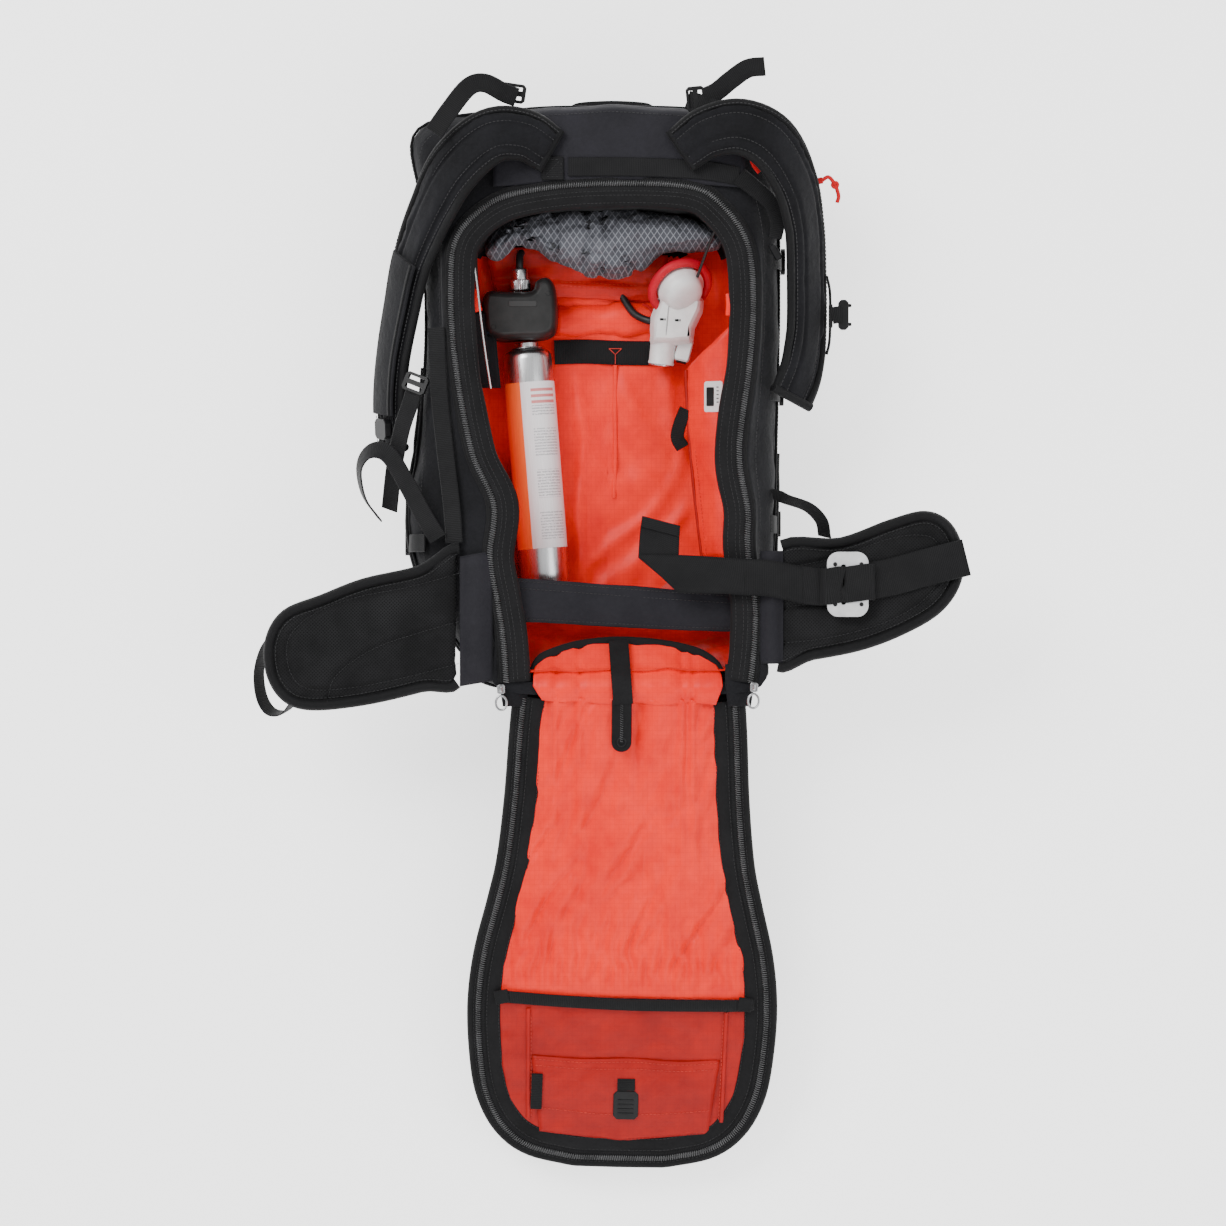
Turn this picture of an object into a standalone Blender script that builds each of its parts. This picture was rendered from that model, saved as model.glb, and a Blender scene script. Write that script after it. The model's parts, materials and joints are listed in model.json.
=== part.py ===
"""Avalanche airbag backpack, lying on its front with the back panel unzipped and folded out.

Frame: metres, +Z up. The origin is on the flat underside of the front pocket, under the middle of
the body. +Y runs to the top of the pack, and the open back panel lies towards -Y. The wearer's side
faces up. Every moving piece is parented to an empty on its joint's axis.
"""

import math

import bmesh
import bpy
import numpy as np
from mathutils import Matrix, Vector

# ---------------------------------------------------------------- driving dimensions
GAP = 0.0003                 # clearance between pieces that touch
FRONT_PAD_TOP = 0.036        # top of the front pocket, where the shell's base starts
FLOOR_Z = 0.045              # outside of the lining's floor
RIM_Z = 0.1645               # top of the shell, where the zip opening is
LINING_SKIN = 0.0015
LINING_INSET = 0.0125        # from the zip line in to the lining's outside
BORDER_IN = 0.022            # black border, measured in from the zip line
BORDER_THICK = 0.002
CHAIN_WIDE = 0.009
CHAIN_TALL = 0.0024

PANEL_SLOPE = math.radians(13.0)     # the open panel falls from the rim to the ground
PANEL_YAW = math.radians(-1.2)       # the fold line turns with the sway of the opening
PANEL_HINGE = Vector((0.018, -0.3075, 0.1655))
PANEL_FACE = -0.0085                 # red face of the panel, under the fold line
PANEL_START = 0.010                  # from the fold line to the panel's near edge
PANEL_LENGTH = 0.527
PANEL_FOAM = 0.017

CARTRIDGE_RADIUS = 0.026
CARTRIDGE_LENGTH = 0.258
CARTRIDGE_TOP = Vector((-0.0915, 0.0585, 0.0745))
CARTRIDGE_YAW = math.radians(4.54)
CARTRIDGE_NECK = 0.0075

HIP_FOLD_LEFT = Vector((-0.153, -0.222, 0.1715))
HIP_FOLD_RIGHT = Vector((0.1665, -0.215, 0.1715))
HIP_PAD_LOW = 0.1555
HIP_PAD_TOP = 0.1705

STRAP_THICK = 0.014
STRAP_PIVOT_LEFT = Vector((-0.066, 0.275, 0.168))
STRAP_PIVOT_RIGHT = Vector((0.074, 0.275, 0.168))

WEB_THIN = 0.0016            # thickness of flat webbing
WEB_NARROW = 0.020
WEB_WIDE = 0.039

# Zip line around the opening, clockwise from the fold's left end, and the body's widest outline.
# The two lists pair up point by point, so that the walls loft between them.
ZIP_LINE = [
    (-0.110, -0.297), (-0.113, -0.252), (-0.119, -0.213), (-0.127, -0.165), (-0.123, -0.110),
    (-0.146, -0.054), (-0.163, 0.037), (-0.168, 0.115), (-0.162, 0.170), (-0.126, 0.206),
    (-0.079, 0.220), (-0.008, 0.226), (0.080, 0.223), (0.116, 0.202), (0.141, 0.163),
    (0.147, 0.105), (0.143, 0.037), (0.132, -0.054), (0.141, -0.116), (0.141, -0.155),
    (0.149, -0.215), (0.148, -0.260), (0.144, -0.297), (0.018, -0.299),
]
BODY_LINE = [
    (-0.126, -0.300), (-0.158, -0.262), (-0.188, -0.214), (-0.209, -0.165), (-0.214, -0.110),
    (-0.206, -0.054), (-0.198, 0.037), (-0.197, 0.115), (-0.203, 0.215), (-0.205, 0.290),
    (-0.100, 0.310), (-0.008, 0.313), (0.095, 0.310), (0.158, 0.290), (0.174, 0.220),
    (0.176, 0.115), (0.175, 0.037), (0.173, -0.054), (0.172, -0.110), (0.170, -0.160),
    (0.166, -0.215), (0.160, -0.265), (0.146, -0.299), (0.012, -0.303),
]
SIDE_POINTS = 23             # points of ZIP_LINE that carry the zip: all but the fold's middle

# ---------------------------------------------------------------- materials
COLOURS = {
    "black_fabric": ((0.022, 0.022, 0.024), 0.85, 0.0),
    "mesh_fabric": ((0.03, 0.03, 0.032), 0.9, 0.0),
    "red_lining": ((0.86, 0.09, 0.035), 0.6, 0.0),
    "dark_red_lining": ((0.62, 0.04, 0.02), 0.6, 0.0),
    "black_webbing": ((0.018, 0.018, 0.019), 0.7, 0.0),
    "band_fabric": ((0.035, 0.034, 0.042), 0.8, 0.0),
    "zip_coil": ((0.012, 0.012, 0.013), 0.35, 0.0),
    "zip_metal": ((0.6, 0.6, 0.6), 0.3, 1.0),
    "airbag_fabric": ((0.13, 0.14, 0.16), 0.55, 0.0),
    "collar_rubber": ((0.66, 0.008, 0.05), 0.45, 0.0),
    "white_plastic": ((0.72, 0.72, 0.7), 0.4, 0.0),
    "black_plastic": ((0.03, 0.03, 0.03), 0.4, 0.0),
    "cartridge_metal": ((0.7, 0.71, 0.72), 0.32, 1.0),
    "steel": ((0.6, 0.6, 0.61), 0.25, 1.0),
    "label_paper": ((0.9, 0.9, 0.9), 0.5, 0.0),
    "hose_rubber": ((0.02, 0.02, 0.02), 0.5, 0.0),
    "red_cord": ((0.75, 0.03, 0.03), 0.6, 0.0),
    "panel_foam": ((0.03, 0.03, 0.032), 0.9, 0.0),
}


def material(slot):
    """Principled material of a slot, made once."""
    found = bpy.data.materials.get(slot)
    if found:
        return found
    colour, roughness, metallic = COLOURS[slot]
    made = bpy.data.materials.new(slot)
    made.use_nodes = True
    shader = made.node_tree.nodes["Principled BSDF"]
    shader.inputs["Base Color"].default_value = (*colour, 1.0)
    shader.inputs["Roughness"].default_value = roughness
    shader.inputs["Metallic"].default_value = metallic
    made.diffuse_color = (*colour, 1.0)
    return made


# ---------------------------------------------------------------- scene and bodies
def clear_scene():
    for obj in list(bpy.data.objects):
        bpy.data.objects.remove(obj)


def pivot(name, place, rotation=None, parent=None):
    """An empty on a joint's axis. Pieces parented to it move with it."""
    empty = bpy.data.objects.new(name, None)
    empty.empty_display_size = 0.02
    bpy.context.scene.collection.objects.link(empty)
    local = Matrix.Translation(place) @ (rotation or Matrix.Identity(4))
    empty.matrix_world = local
    if parent:
        empty.parent = parent
        empty.matrix_parent_inverse = parent.matrix_world.inverted()
    bpy.context.view_layer.update()
    return empty


def attach(obj, empty):
    """Moves the object's origin to the empty and parents it there; its shape stays where it is."""
    obj.data.transform(empty.matrix_world.inverted() @ obj.matrix_world)
    obj.parent = empty
    obj.matrix_parent_inverse = Matrix.Identity(4)
    obj.matrix_basis = Matrix.Identity(4)


def place(obj, slot, empty=None, frame=None):
    """Gives the object its material, its place and its parent."""
    obj.data.materials.clear()
    obj.data.materials.append(material(slot))
    if frame is not None:
        obj.data.transform(frame)
    if empty is not None:
        attach(obj, empty)
    return obj


# ---------------------------------------------------------------- curves and lofts
def spline(points, steps, closed=False):
    """Catmull-Rom curve through the points, with this many steps between neighbours."""
    pts = np.array(points, float)
    count = len(pts)
    last = count if closed else count - 1
    out = []
    for i in range(last):
        before = pts[(i - 1) % count] if closed or i else 2 * pts[0] - pts[1]
        start = pts[i]
        end = pts[(i + 1) % count]
        after = pts[(i + 2) % count] if closed or i + 2 < count else 2 * pts[-1] - pts[-2]
        for t in np.arange(steps) / steps:
            out.append(
                0.5 * (2 * start + (end - before) * t
                       + (2 * before - 5 * start + 4 * end - after) * t ** 2
                       + (3 * start - before - 3 * end + after) * t ** 3)
            )
    if not closed:
        out.append(pts[-1])
    return np.array(out)


def tangents(points, closed=False):
    pts = np.array(points, float)
    if closed:
        along = np.roll(pts, -1, axis=0) - np.roll(pts, 1, axis=0)
    else:
        along = np.gradient(pts, axis=0)
    return along / np.linalg.norm(along, axis=1)[:, None]


def offset(points, distance, closed=False):
    """Flat outline moved to its right-hand side, which is inwards for a clockwise outline."""
    pts = np.array(points, float)
    along = tangents(pts, closed)
    return pts + distance * np.stack([along[:, 1], -along[:, 0]], axis=1)


def lift(points, z):
    """Flat outline as points at one height, or at one height each."""
    heights = np.broadcast_to(z, (len(points),))
    return [Vector((x, y, h)) for (x, y), h in zip(points, heights)]


def loft(name, rings, closed=False):
    """Closed solid through rings of equal length, capped at both ends unless the rings close."""
    bm = bmesh.new()
    rows = [[bm.verts.new(p) for p in ring] for ring in rings]
    size = len(rows[0])
    pairs = list(zip(rows, rows[1:] + rows[:1])) if closed else list(zip(rows, rows[1:]))
    for low, high in pairs:
        for i in range(size):
            j = (i + 1) % size
            bm.faces.new((low[i], low[j], high[j], high[i]))
    if not closed:
        bm.faces.new(rows[0][::-1])
        bm.faces.new(rows[-1])
    bmesh.ops.recalc_face_normals(bm, faces=bm.faces)
    mesh = bpy.data.meshes.new(name)
    bm.to_mesh(mesh)
    bm.free()
    mesh.shade_smooth()
    mesh.set_sharp_from_angle(angle=math.radians(35))
    obj = bpy.data.objects.new(name, mesh)
    bpy.context.scene.collection.objects.link(obj)
    return obj


def pad(name, outline, low, top, edge):
    """Flat pad with a rounded edge, from its clockwise outline and its two heights."""
    middle = (low + top) / 2
    rings = [
        lift(offset(outline, edge, True), low),
        lift(outline, min(low + edge, middle)),
        lift(outline, max(top - edge, middle + 1e-4)),
        lift(offset(outline, edge, True), top),
    ]
    return loft(name, rings)


def band(name, path, width, thickness, up=(0, 0, 1), closed=False):
    """Flat strap along a path. up is its face's direction, or one direction for each point."""
    pts = np.array(path, float)
    along = tangents(pts, closed)
    ups = np.broadcast_to(np.array(up, float), pts.shape)
    side = np.cross(along, ups)
    side /= np.linalg.norm(side, axis=1)[:, None]
    face = np.cross(side, along)
    widths = np.broadcast_to(width, (len(pts),))
    rings = []
    for p, s, f, w in zip(pts, side, face, widths):
        across = s * w / 2
        through = f * thickness / 2
        rings.append([Vector(p + across + through), Vector(p - across + through),
                      Vector(p - across - through), Vector(p + across - through)])
    return loft(name, rings, closed)


def turned(name, profile, segments=16):
    """Solid of revolution about local Y from (radius, height) pairs, from one end to the other."""
    rings = []
    for radius, height in profile:
        angles = np.arange(segments) * 2 * math.pi / segments
        rings.append([Vector((radius * math.cos(a), height, radius * math.sin(a))) for a in angles])
    return loft(name, rings)


def tube(name, points, radius, sides=2):
    """Round cord or wire: a curve with a bevel, on points read from a smooth route."""
    curve = bpy.data.curves.new(name, "CURVE")
    curve.dimensions = "3D"
    curve.bevel_depth = radius
    curve.bevel_resolution = sides
    curve.use_fill_caps = True
    run = curve.splines.new("POLY")
    run.points.add(len(points) - 1)
    for slot, p in zip(run.points, points):
        slot.co = (*p, 1.0)
    obj = bpy.data.objects.new(name, curve)
    bpy.context.scene.collection.objects.link(obj)
    return obj


def box(name, low, high, edge=0.0):
    """Block between two corners, with its upright edges cut at 45 degrees."""
    (x0, y0, z0), (x1, y1, z1) = low, high
    outline = [(x0 + edge, y1), (x1 - edge, y1), (x1, y1 - edge), (x1, y0 + edge),
               (x1 - edge, y0), (x0 + edge, y0), (x0, y0 + edge), (x0, y1 - edge)]
    if edge == 0.0:
        outline = [(x0, y1), (x1, y1), (x1, y0), (x0, y0)]
    return loft(name, [lift(outline, z0), lift(outline, z1)])


def ladder_lock(name, frame, slot, empty=None, wide=0.027, long=0.020):
    """Webbing adjuster: a plate with two slots and a raised middle bar."""
    half = wide / 2
    plate = box(name, (-half, -long / 2, -0.0022), (half, long / 2, 0.0022), 0.003)
    for sign in (1, -1):
        cutter = box(name + "_slot", (-half + 0.004, sign * 0.0048 - 0.0021, -0.01),
                     (half - 0.004, sign * 0.0048 + 0.0021, 0.01))
        cutter.data.transform(frame)
        cutter.hide_render = True
        cutter.display_type = "WIRE"
        cut = plate.modifiers.new("slot", "BOOLEAN")
        cut.operation = "DIFFERENCE"
        cut.object = cutter
        if empty is not None:
            attach(cutter, empty)
    return place(plate, slot, empty, frame)


def frame_at(origin, along, up):
    """Matrix whose local Y runs along, and whose local Z is as near to up as it can be."""
    y = Vector(along).normalized()
    x = y.cross(Vector(up)).normalized()
    z = x.cross(y)
    return Matrix.Translation(origin) @ Matrix((x, y, z)).transposed().to_4x4()


# ---------------------------------------------------------------- the bag
def build_bag():
    zip_line = spline(ZIP_LINE, 2, True)
    body = spline(BODY_LINE, 2, True)
    rim = offset(zip_line, -0.009, True)
    wall = offset(zip_line, LINING_INSET - GAP, True)
    shell = loft("main_shell", [
        lift(wall, FLOOR_Z - GAP),
        lift(wall, RIM_Z),
        lift(rim, RIM_Z),
        lift(0.5 * rim + 0.5 * body, 0.147),
        lift(body, 0.112),
        lift(body, 0.066),
        lift(offset(body, 0.022, True), FRONT_PAD_TOP + GAP),
    ])
    place(shell, "black_fabric")

    outside = offset(zip_line, LINING_INSET, True)
    inside = offset(zip_line, LINING_INSET + LINING_SKIN, True)
    lining = loft("inner_lining", [
        lift(inside, FLOOR_Z + LINING_SKIN),
        lift(inside, RIM_Z),
        lift(outside, RIM_Z),
        lift(outside, FLOOR_Z),
    ])
    place(lining, "red_lining")

    pocket = offset(body, 0.030, True)
    front = pad("front_pocket", pocket, 0.0, FRONT_PAD_TOP, 0.012)
    place(front, "black_fabric")

    line = spline(ZIP_LINE[:SIDE_POINTS], 3)
    middle = offset(line, (BORDER_IN - 0.008) / 2)
    border = band("rim_border", lift(middle, RIM_Z + GAP + BORDER_THICK / 2),
                  BORDER_IN + 0.008, BORDER_THICK)
    place(border, "black_fabric")
    chain_z = RIM_Z + 2 * GAP + BORDER_THICK + CHAIN_TALL / 2
    chain = band("body_zip_chain", lift(line, chain_z), CHAIN_WIDE, CHAIN_TALL)
    place(chain, "zip_coil")


def build_top():
    """Carry-yoke webbing across the top of the back, with its stitched loop."""
    top = 0.1685
    run = [(-0.044, 0.2445, top), (0.02, 0.2445, top), (0.09, 0.2415, top), (0.1375, 0.234, top)]
    place(band("yoke_band", spline(run, 3), 0.020, 0.002), "black_webbing")
    place(box("yoke_loop", (-0.074, 0.231, 0.1670), (-0.051, 0.255, 0.1715), 0.002), "black_webbing")


def build_lining_details():
    floor = FLOOR_Z + LINING_SKIN + GAP
    place(box("cartridge_band", (-0.060, 0.043, floor), (0.045, 0.069, floor + 0.0016)), "black_webbing")
    sheet = [(0.1145, 0.145), (0.0835, 0.058)]
    ends = []
    for y, shift in ((0.036, 0.004), (-0.01, 0.0), (-0.06, -0.003), (-0.11, 0.003), (-0.150, 0.007)):
        (x1, z1), (x0, z0) = sheet
        ends.append([Vector((x1 + shift, y, z1)), Vector((x0 + shift, y, z0)),
                     Vector((x0 + shift + 0.004, y, z0 - 0.001)), Vector((x1 + shift + 0.003, y, z1))])
    place(loft("lining_side_pocket", ends), "red_lining")

    lumbar_z = 0.1455
    lumbar = [(-0.100, -0.213, lumbar_z), (-0.05, -0.214, lumbar_z - 0.003),
              (0.02, -0.218, lumbar_z - 0.004), (0.09, -0.222, lumbar_z - 0.003),
              (0.130, -0.224, lumbar_z)]
    place(band("lumbar_band", spline(lumbar, 3), 0.047, 0.003), "band_fabric")

    wires = {
        "left": [(-0.1465, 0.152, 0.1615), (-0.1415, 0.118, 0.1622), (-0.1385, 0.090, 0.1615),
                 (-0.1335, 0.050, 0.156), (-0.128, 0.013, 0.148)],
        "right": [(0.1255, 0.152, 0.1615), (0.1275, 0.118, 0.1622), (0.1275, 0.090, 0.1615),
                  (0.1250, 0.040, 0.156), (0.1225, 0.002, 0.148)],
    }
    for side, route in wires.items():
        place(tube("frame_wire_" + side, spline(route, 4), 0.0013), "steel")


# ---------------------------------------------------------------- airbag system
def build_airbag():
    outline = spline([
        (-0.136, 0.158), (-0.120, 0.186), (-0.080, 0.2025), (-0.010, 0.2065), (0.060, 0.204),
        (0.100, 0.192), (0.117, 0.174), (0.112, 0.163), (0.090, 0.163), (0.055, 0.162),
        (0.028, 0.140), (0.000, 0.130), (-0.030, 0.141), (-0.062, 0.150), (-0.078, 0.166),
        (-0.100, 0.172), (-0.120, 0.150),
    ], 1, True)
    place(pad("airbag_bundle", outline, 0.0655, 0.138, 0.014), "airbag_fabric")

    collar_at = Vector((0.0725, 0.1235, 0.1010))
    collar_face = Vector((0.33, -0.62, 0.71)).normalized()
    frame = frame_at(collar_at, collar_face, (0, 1, 0))
    ring = [(0.0265, -0.004), (0.034, -0.004), (0.0365, -0.001), (0.0365, 0.001), (0.034, 0.004),
            (0.0265, 0.004)]
    rows = []
    for k in range(20):
        a = 2 * math.pi * k / 20
        rows.append([Vector((r * math.cos(a), h, r * math.sin(a))) for r, h in ring])
    place(loft("airbag_collar", rows, True), "collar_rubber", frame=frame)

    cone = turned("ejector_inlet", [(0.0255, -0.003), (0.0255, 0.004), (0.019, 0.016), (0.012, 0.019)])
    place(cone, "white_plastic", frame=frame)
    start = Vector((0.0725, 0.0815, 0.0780))
    run = Vector((-0.23, -0.96, -0.06)).normalized()
    frame = frame_at(start, run, (0, 0, 1))
    body = [(0.016, -0.010), (0.0255, -0.003), (0.0265, 0.010), (0.024, 0.024), (0.015, 0.030), (0.0145, 0.0405)]
    place(turned("ejector_body", body, 10), "white_plastic", frame=frame)
    nozzle = [(0.0100, 0.0410), (0.0132, 0.0410), (0.0132, 0.0455), (0.0100, 0.0455)]
    rows = []
    for k in range(16):
        a = 2 * math.pi * k / 16
        rows.append([Vector((r * math.cos(a), h, r * math.sin(a))) for r, h in nozzle])
    place(loft("ejector_nozzle_ring", rows, True), "steel", frame=frame)


def build_inflation_head():
    outline = spline([
        (-0.136, 0.116), (-0.110, 0.1185), (-0.086, 0.1195), (-0.0805, 0.130), (-0.069, 0.1335),
        (-0.0605, 0.122), (-0.058, 0.094), (-0.061, 0.076), (-0.074, 0.069), (-0.100, 0.068),
        (-0.122, 0.068), (-0.136, 0.078),
    ], 2, True)
    seam = 0.082
    place(pad("inflation_head_base", outline, 0.0492, seam - GAP, 0.004), "black_plastic")
    place(pad("inflation_head_cover", outline, seam, 0.114, 0.009), "black_plastic")

    axis = Vector((-0.0975, 0.1200, 0.0830))
    along = (-0.05, 1, 0)
    nut_pivot = pivot("hose_nut_axis", axis, frame_at((0, 0, 0), along, (0, 0, 1)))
    nut = turned("hose_nut", [(0.0108, 0.001), (0.0108, 0.012), (0.0085, 0.0135), (0.0085, 0.024)], 18)
    place(nut, "steel", nut_pivot, nut_pivot.matrix_world)

    route = [(-0.0988, 0.1446, 0.0830), (-0.0990, 0.1520, 0.0820), (-0.0985, 0.1600, 0.0755),
             (-0.0940, 0.1650, 0.0630), (-0.0840, 0.1655, 0.0550), (-0.0600, 0.1650, 0.0530),
             (-0.0250, 0.1600, 0.0530), (0.0000, 0.1380, 0.0535), (0.0120, 0.1150, 0.0580),
             (0.0230, 0.0980, 0.0680), (0.0370, 0.0900, 0.0770), (0.0465, 0.0885, 0.0785)]
    place(tube("pressure_hose", spline(route, 3), 0.0040), "hose_rubber")

    cable = [(-0.1405, 0.102, 0.0960), (-0.1425, 0.112, 0.1000), (-0.1440, 0.128, 0.1080),
             (-0.1445, 0.146, 0.1200), (-0.1440, 0.156, 0.1400), (-0.1440, 0.158, 0.1560)]
    place(tube("trigger_cable", spline(cable, 3), 0.0018), "hose_rubber")


def build_cartridge():
    """Cartridge in line with the head. It unscrews about its axis and backs out along it."""
    turn = Matrix.Rotation(CARTRIDGE_YAW, 4, "Z") @ Matrix.Rotation(math.pi, 4, "Z")
    slide = pivot("cartridge_slide_axis", CARTRIDGE_TOP, turn)
    spin = pivot("cartridge_spin_axis", CARTRIDGE_TOP, turn, slide)
    frame = slide.matrix_world.copy()
    neck = [(0.0130, -CARTRIDGE_NECK), (0.0130, -0.0025), (0.0175, -0.0015), (0.0175, -GAP)]
    place(turned("cartridge_neck", neck), "steel", slide, frame)
    r = CARTRIDGE_RADIUS
    end = CARTRIDGE_LENGTH
    tank = [(r - 0.009, 0.0), (r - 0.0035, 0.0015), (r, 0.006), (r, end - 0.012), (r - 0.004, end - 0.003),
            (r - 0.012, end)]
    place(turned("cartridge_tank", tank, 24), "cartridge_metal", spin, frame)
    low, high = 0.036, 0.214
    skin = [(r + GAP, low), (r + 0.0008, low), (r + 0.0008, high), (r + GAP, high)]
    rows = []
    for k in range(24):
        a = 2 * math.pi * k / 24
        rows.append([Vector((q * math.cos(a), h, q * math.sin(a))) for q, h in skin])
    place(loft("cartridge_label", rows, True), "label_paper", spin, frame)


# ---------------------------------------------------------------- back panel
def panel_outline(inset, start, end):
    """The panel's outline between two distances from the fold, clockwise and inset from its edge."""
    shape = [(0.000, 0.118), (0.050, 0.122), (0.118, 0.126), (0.186, 0.133), (0.230, 0.142),
             (0.290, 0.156), (0.345, 0.162), (0.400, 0.160), (0.450, 0.152), (0.490, 0.132),
             (0.515, 0.100), (0.527, 0.050)]
    rows = [(d, w - inset) for d, w in spline(shape, 2) if start < d <= end]
    rows = [(start, rows[0][1])] + [(min(d, end - inset), w) for d, w in rows]
    right = [(w, -d) for d, w in rows]
    left = [(-w, -d) for d, w in reversed(rows)]
    return np.array(right + left)


def build_panel():
    yaw = Matrix.Rotation(PANEL_YAW, 4, "Z")
    slope = Matrix.Rotation(PANEL_SLOPE, 4, "X")
    hinge = pivot("back_panel_axis", PANEL_HINGE, yaw @ slope)
    frame = hinge.matrix_world.copy()
    face = PANEL_FACE

    def put(obj, slot, empty=hinge):
        return place(obj, slot, empty, frame)

    outline = panel_outline(0.0, PANEL_START, PANEL_LENGTH)
    put(pad("panel_foam", outline, face - PANEL_FOAM, face - 0.0033, 0.006), "panel_foam")
    board = panel_outline(0.006, PANEL_START + 0.002, PANEL_LENGTH)
    put(pad("panel_board", board, face - 0.0030, face - GAP, 0.0008), "black_fabric")

    edge = offset(outline, 0.009)
    run = [Vector((x, y, face + CHAIN_TALL / 2)) for x, y in edge]
    put(band("panel_zip_chain", run, CHAIN_WIDE, CHAIN_TALL), "zip_coil")

    upper = panel_outline(0.031, PANEL_START + 0.004, 0.330)
    put(pad("panel_pocket", upper, face, face + 0.0060, 0.0028), "red_lining")

    elastic = [(-0.128, -0.3385, face + 0.003), (-0.06, -0.344, face + 0.0045),
               (0.02, -0.346, face + 0.0045), (0.128, -0.3445, face + 0.003)]
    put(band("panel_elastic", spline(elastic, 3), 0.013, 0.0020), "black_webbing")
    low = panel_outline(0.032, 0.356, PANEL_LENGTH)
    put(pad("panel_lower_pocket", low, face, face + 0.0030, 0.0008), "dark_red_lining")

    hook_at = frame @ Vector((0.006, -0.4440, face + 0.0070))
    hook_pivot = pivot("key_hook_axis", hook_at, yaw @ slope, hinge)
    hook = box("key_hook", (-0.0135, -0.0300, -0.0022), (0.0135, 0.0025, 0.0010), 0.004)
    place(hook, "black_plastic", hook_pivot, hook_pivot.matrix_world)


# ---------------------------------------------------------------- hip belt
def build_hip_belt():
    left = pivot("hip_fold_left_axis", HIP_FOLD_LEFT)
    right = pivot("hip_fold_right_axis", HIP_FOLD_RIGHT)
    low, top = HIP_PAD_LOW, HIP_PAD_TOP
    outline = spline([
        (-0.1545, -0.157), (-0.205, -0.176), (-0.262, -0.189), (-0.306, -0.206), (-0.345, -0.222),
        (-0.363, -0.250), (-0.363, -0.286), (-0.347, -0.314), (-0.318, -0.325), (-0.262, -0.320),
        (-0.200, -0.306), (-0.1545, -0.292),
    ], 2, True)
    outline = np.array([(min(x, -0.1545), y) for x, y in outline])[::-1]
    place(pad("hip_pad_left", outline, low, top, 0.005), "mesh_fabric", left)
    outline = spline([
        (0.168, -0.278), (0.212, -0.272), (0.262, -0.262), (0.305, -0.246), (0.343, -0.224),
        (0.364, -0.196), (0.369, -0.163), (0.356, -0.131), (0.330, -0.118), (0.292, -0.127),
        (0.240, -0.146), (0.168, -0.157),
    ], 2, True)
    outline = np.array([(max(x, 0.168), y) for x, y in outline])[::-1]
    place(pad("hip_pad_right", outline, low, top, 0.005), "mesh_fabric", right)

    tip = [(-0.352, -0.240, 0.138), (-0.366, -0.256, 0.137), (-0.374, -0.285, 0.134), (-0.372, -0.312, 0.133),
           (-0.362, -0.330, 0.134), (-0.346, -0.332, 0.136), (-0.338, -0.322, 0.138)]
    place(band("hip_tip_loop_left", spline(tip, 2), 0.0016, 0.018), "black_webbing", left)

    z = HIP_PAD_TOP + 0.002
    outer = [(0.370, -0.166, z), (0.330, -0.176, z), (0.290, -0.187, z), (0.2555, -0.191, z + 0.004)]
    place(band("hip_webbing_outer", spline(outer, 3), WEB_WIDE, 0.002), "black_webbing", right)
    run = [(0.2375, -0.195, z + 0.006), (0.215, -0.196, z + 0.005), (0.192, -0.193, z + 0.006),
           (0.172, -0.188, z + 0.007)]
    place(band("hip_webbing_inner", spline(run, 3), WEB_WIDE, 0.002), "black_webbing", right)

    flip = pivot("hip_buckle_axis", Vector((0.2260, -0.194, z + 0.0105)), parent=right)
    plate = box("hip_buckle_plate", (0.2250, -0.2280, z + 0.0105), (0.2685, -0.1600, z + 0.0130), 0.012)
    slot = box("hip_buckle_slot", (0.2400, -0.2150, z), (0.2445, -0.1735, z + 0.02))
    slot.hide_render = True
    slot.display_type = "WIRE"
    cut = plate.modifiers.new("slot", "BOOLEAN")
    cut.object = slot
    cut.operation = "DIFFERENCE"
    attach(slot, flip)
    place(plate, "steel", flip)

    # The loose end lies over the rim and folds back on itself over the opening.
    tail_z = 0.1780
    tail = [(0.031, -0.122), (0.071, -0.133), (0.066, -0.163), (0.107, -0.165), (0.165, -0.168),
            (0.165, -0.207), (0.129, -0.204), (0.069, -0.203), (0.027, -0.163)]
    place(loft("hip_webbing_tail", [lift(tail, tail_z), lift(tail, tail_z + 0.002)]), "black_webbing")


# ---------------------------------------------------------------- shoulder straps
def strap_ups(path, tilts, sideways):
    """Face direction of a strap at each point: straight up, leaning outwards by the tilt."""
    out = []
    for tilt in np.interp(np.linspace(0, 1, len(path)), np.linspace(0, 1, len(tilts)), tilts):
        a = math.radians(tilt)
        out.append((sideways * math.sin(a), 0.05, math.cos(a)))
    return out


def build_shoulder(side, mirror, route, tilts, pivot_at, widths):
    """One shoulder strap, and the axis, path and face directions that its fittings hang on."""
    lift_axis = pivot("shoulder_strap_" + side + "_axis", pivot_at)
    path = spline(route, 3)
    ups = strap_ups(path, tilts, mirror)
    shape = np.interp(np.linspace(0, 1, len(path)), np.linspace(0, 1, len(widths)), widths)
    strap = band("shoulder_strap_" + side, path, shape, STRAP_THICK, ups)
    bevel = strap.modifiers.new("soft_edge", "BEVEL")
    bevel.width = 0.004
    bevel.segments = 1
    bevel.limit_method = "ANGLE"
    bevel.angle_limit = math.radians(60)
    place(strap, "black_fabric", lift_axis)
    return lift_axis, path, np.array(ups)


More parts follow.
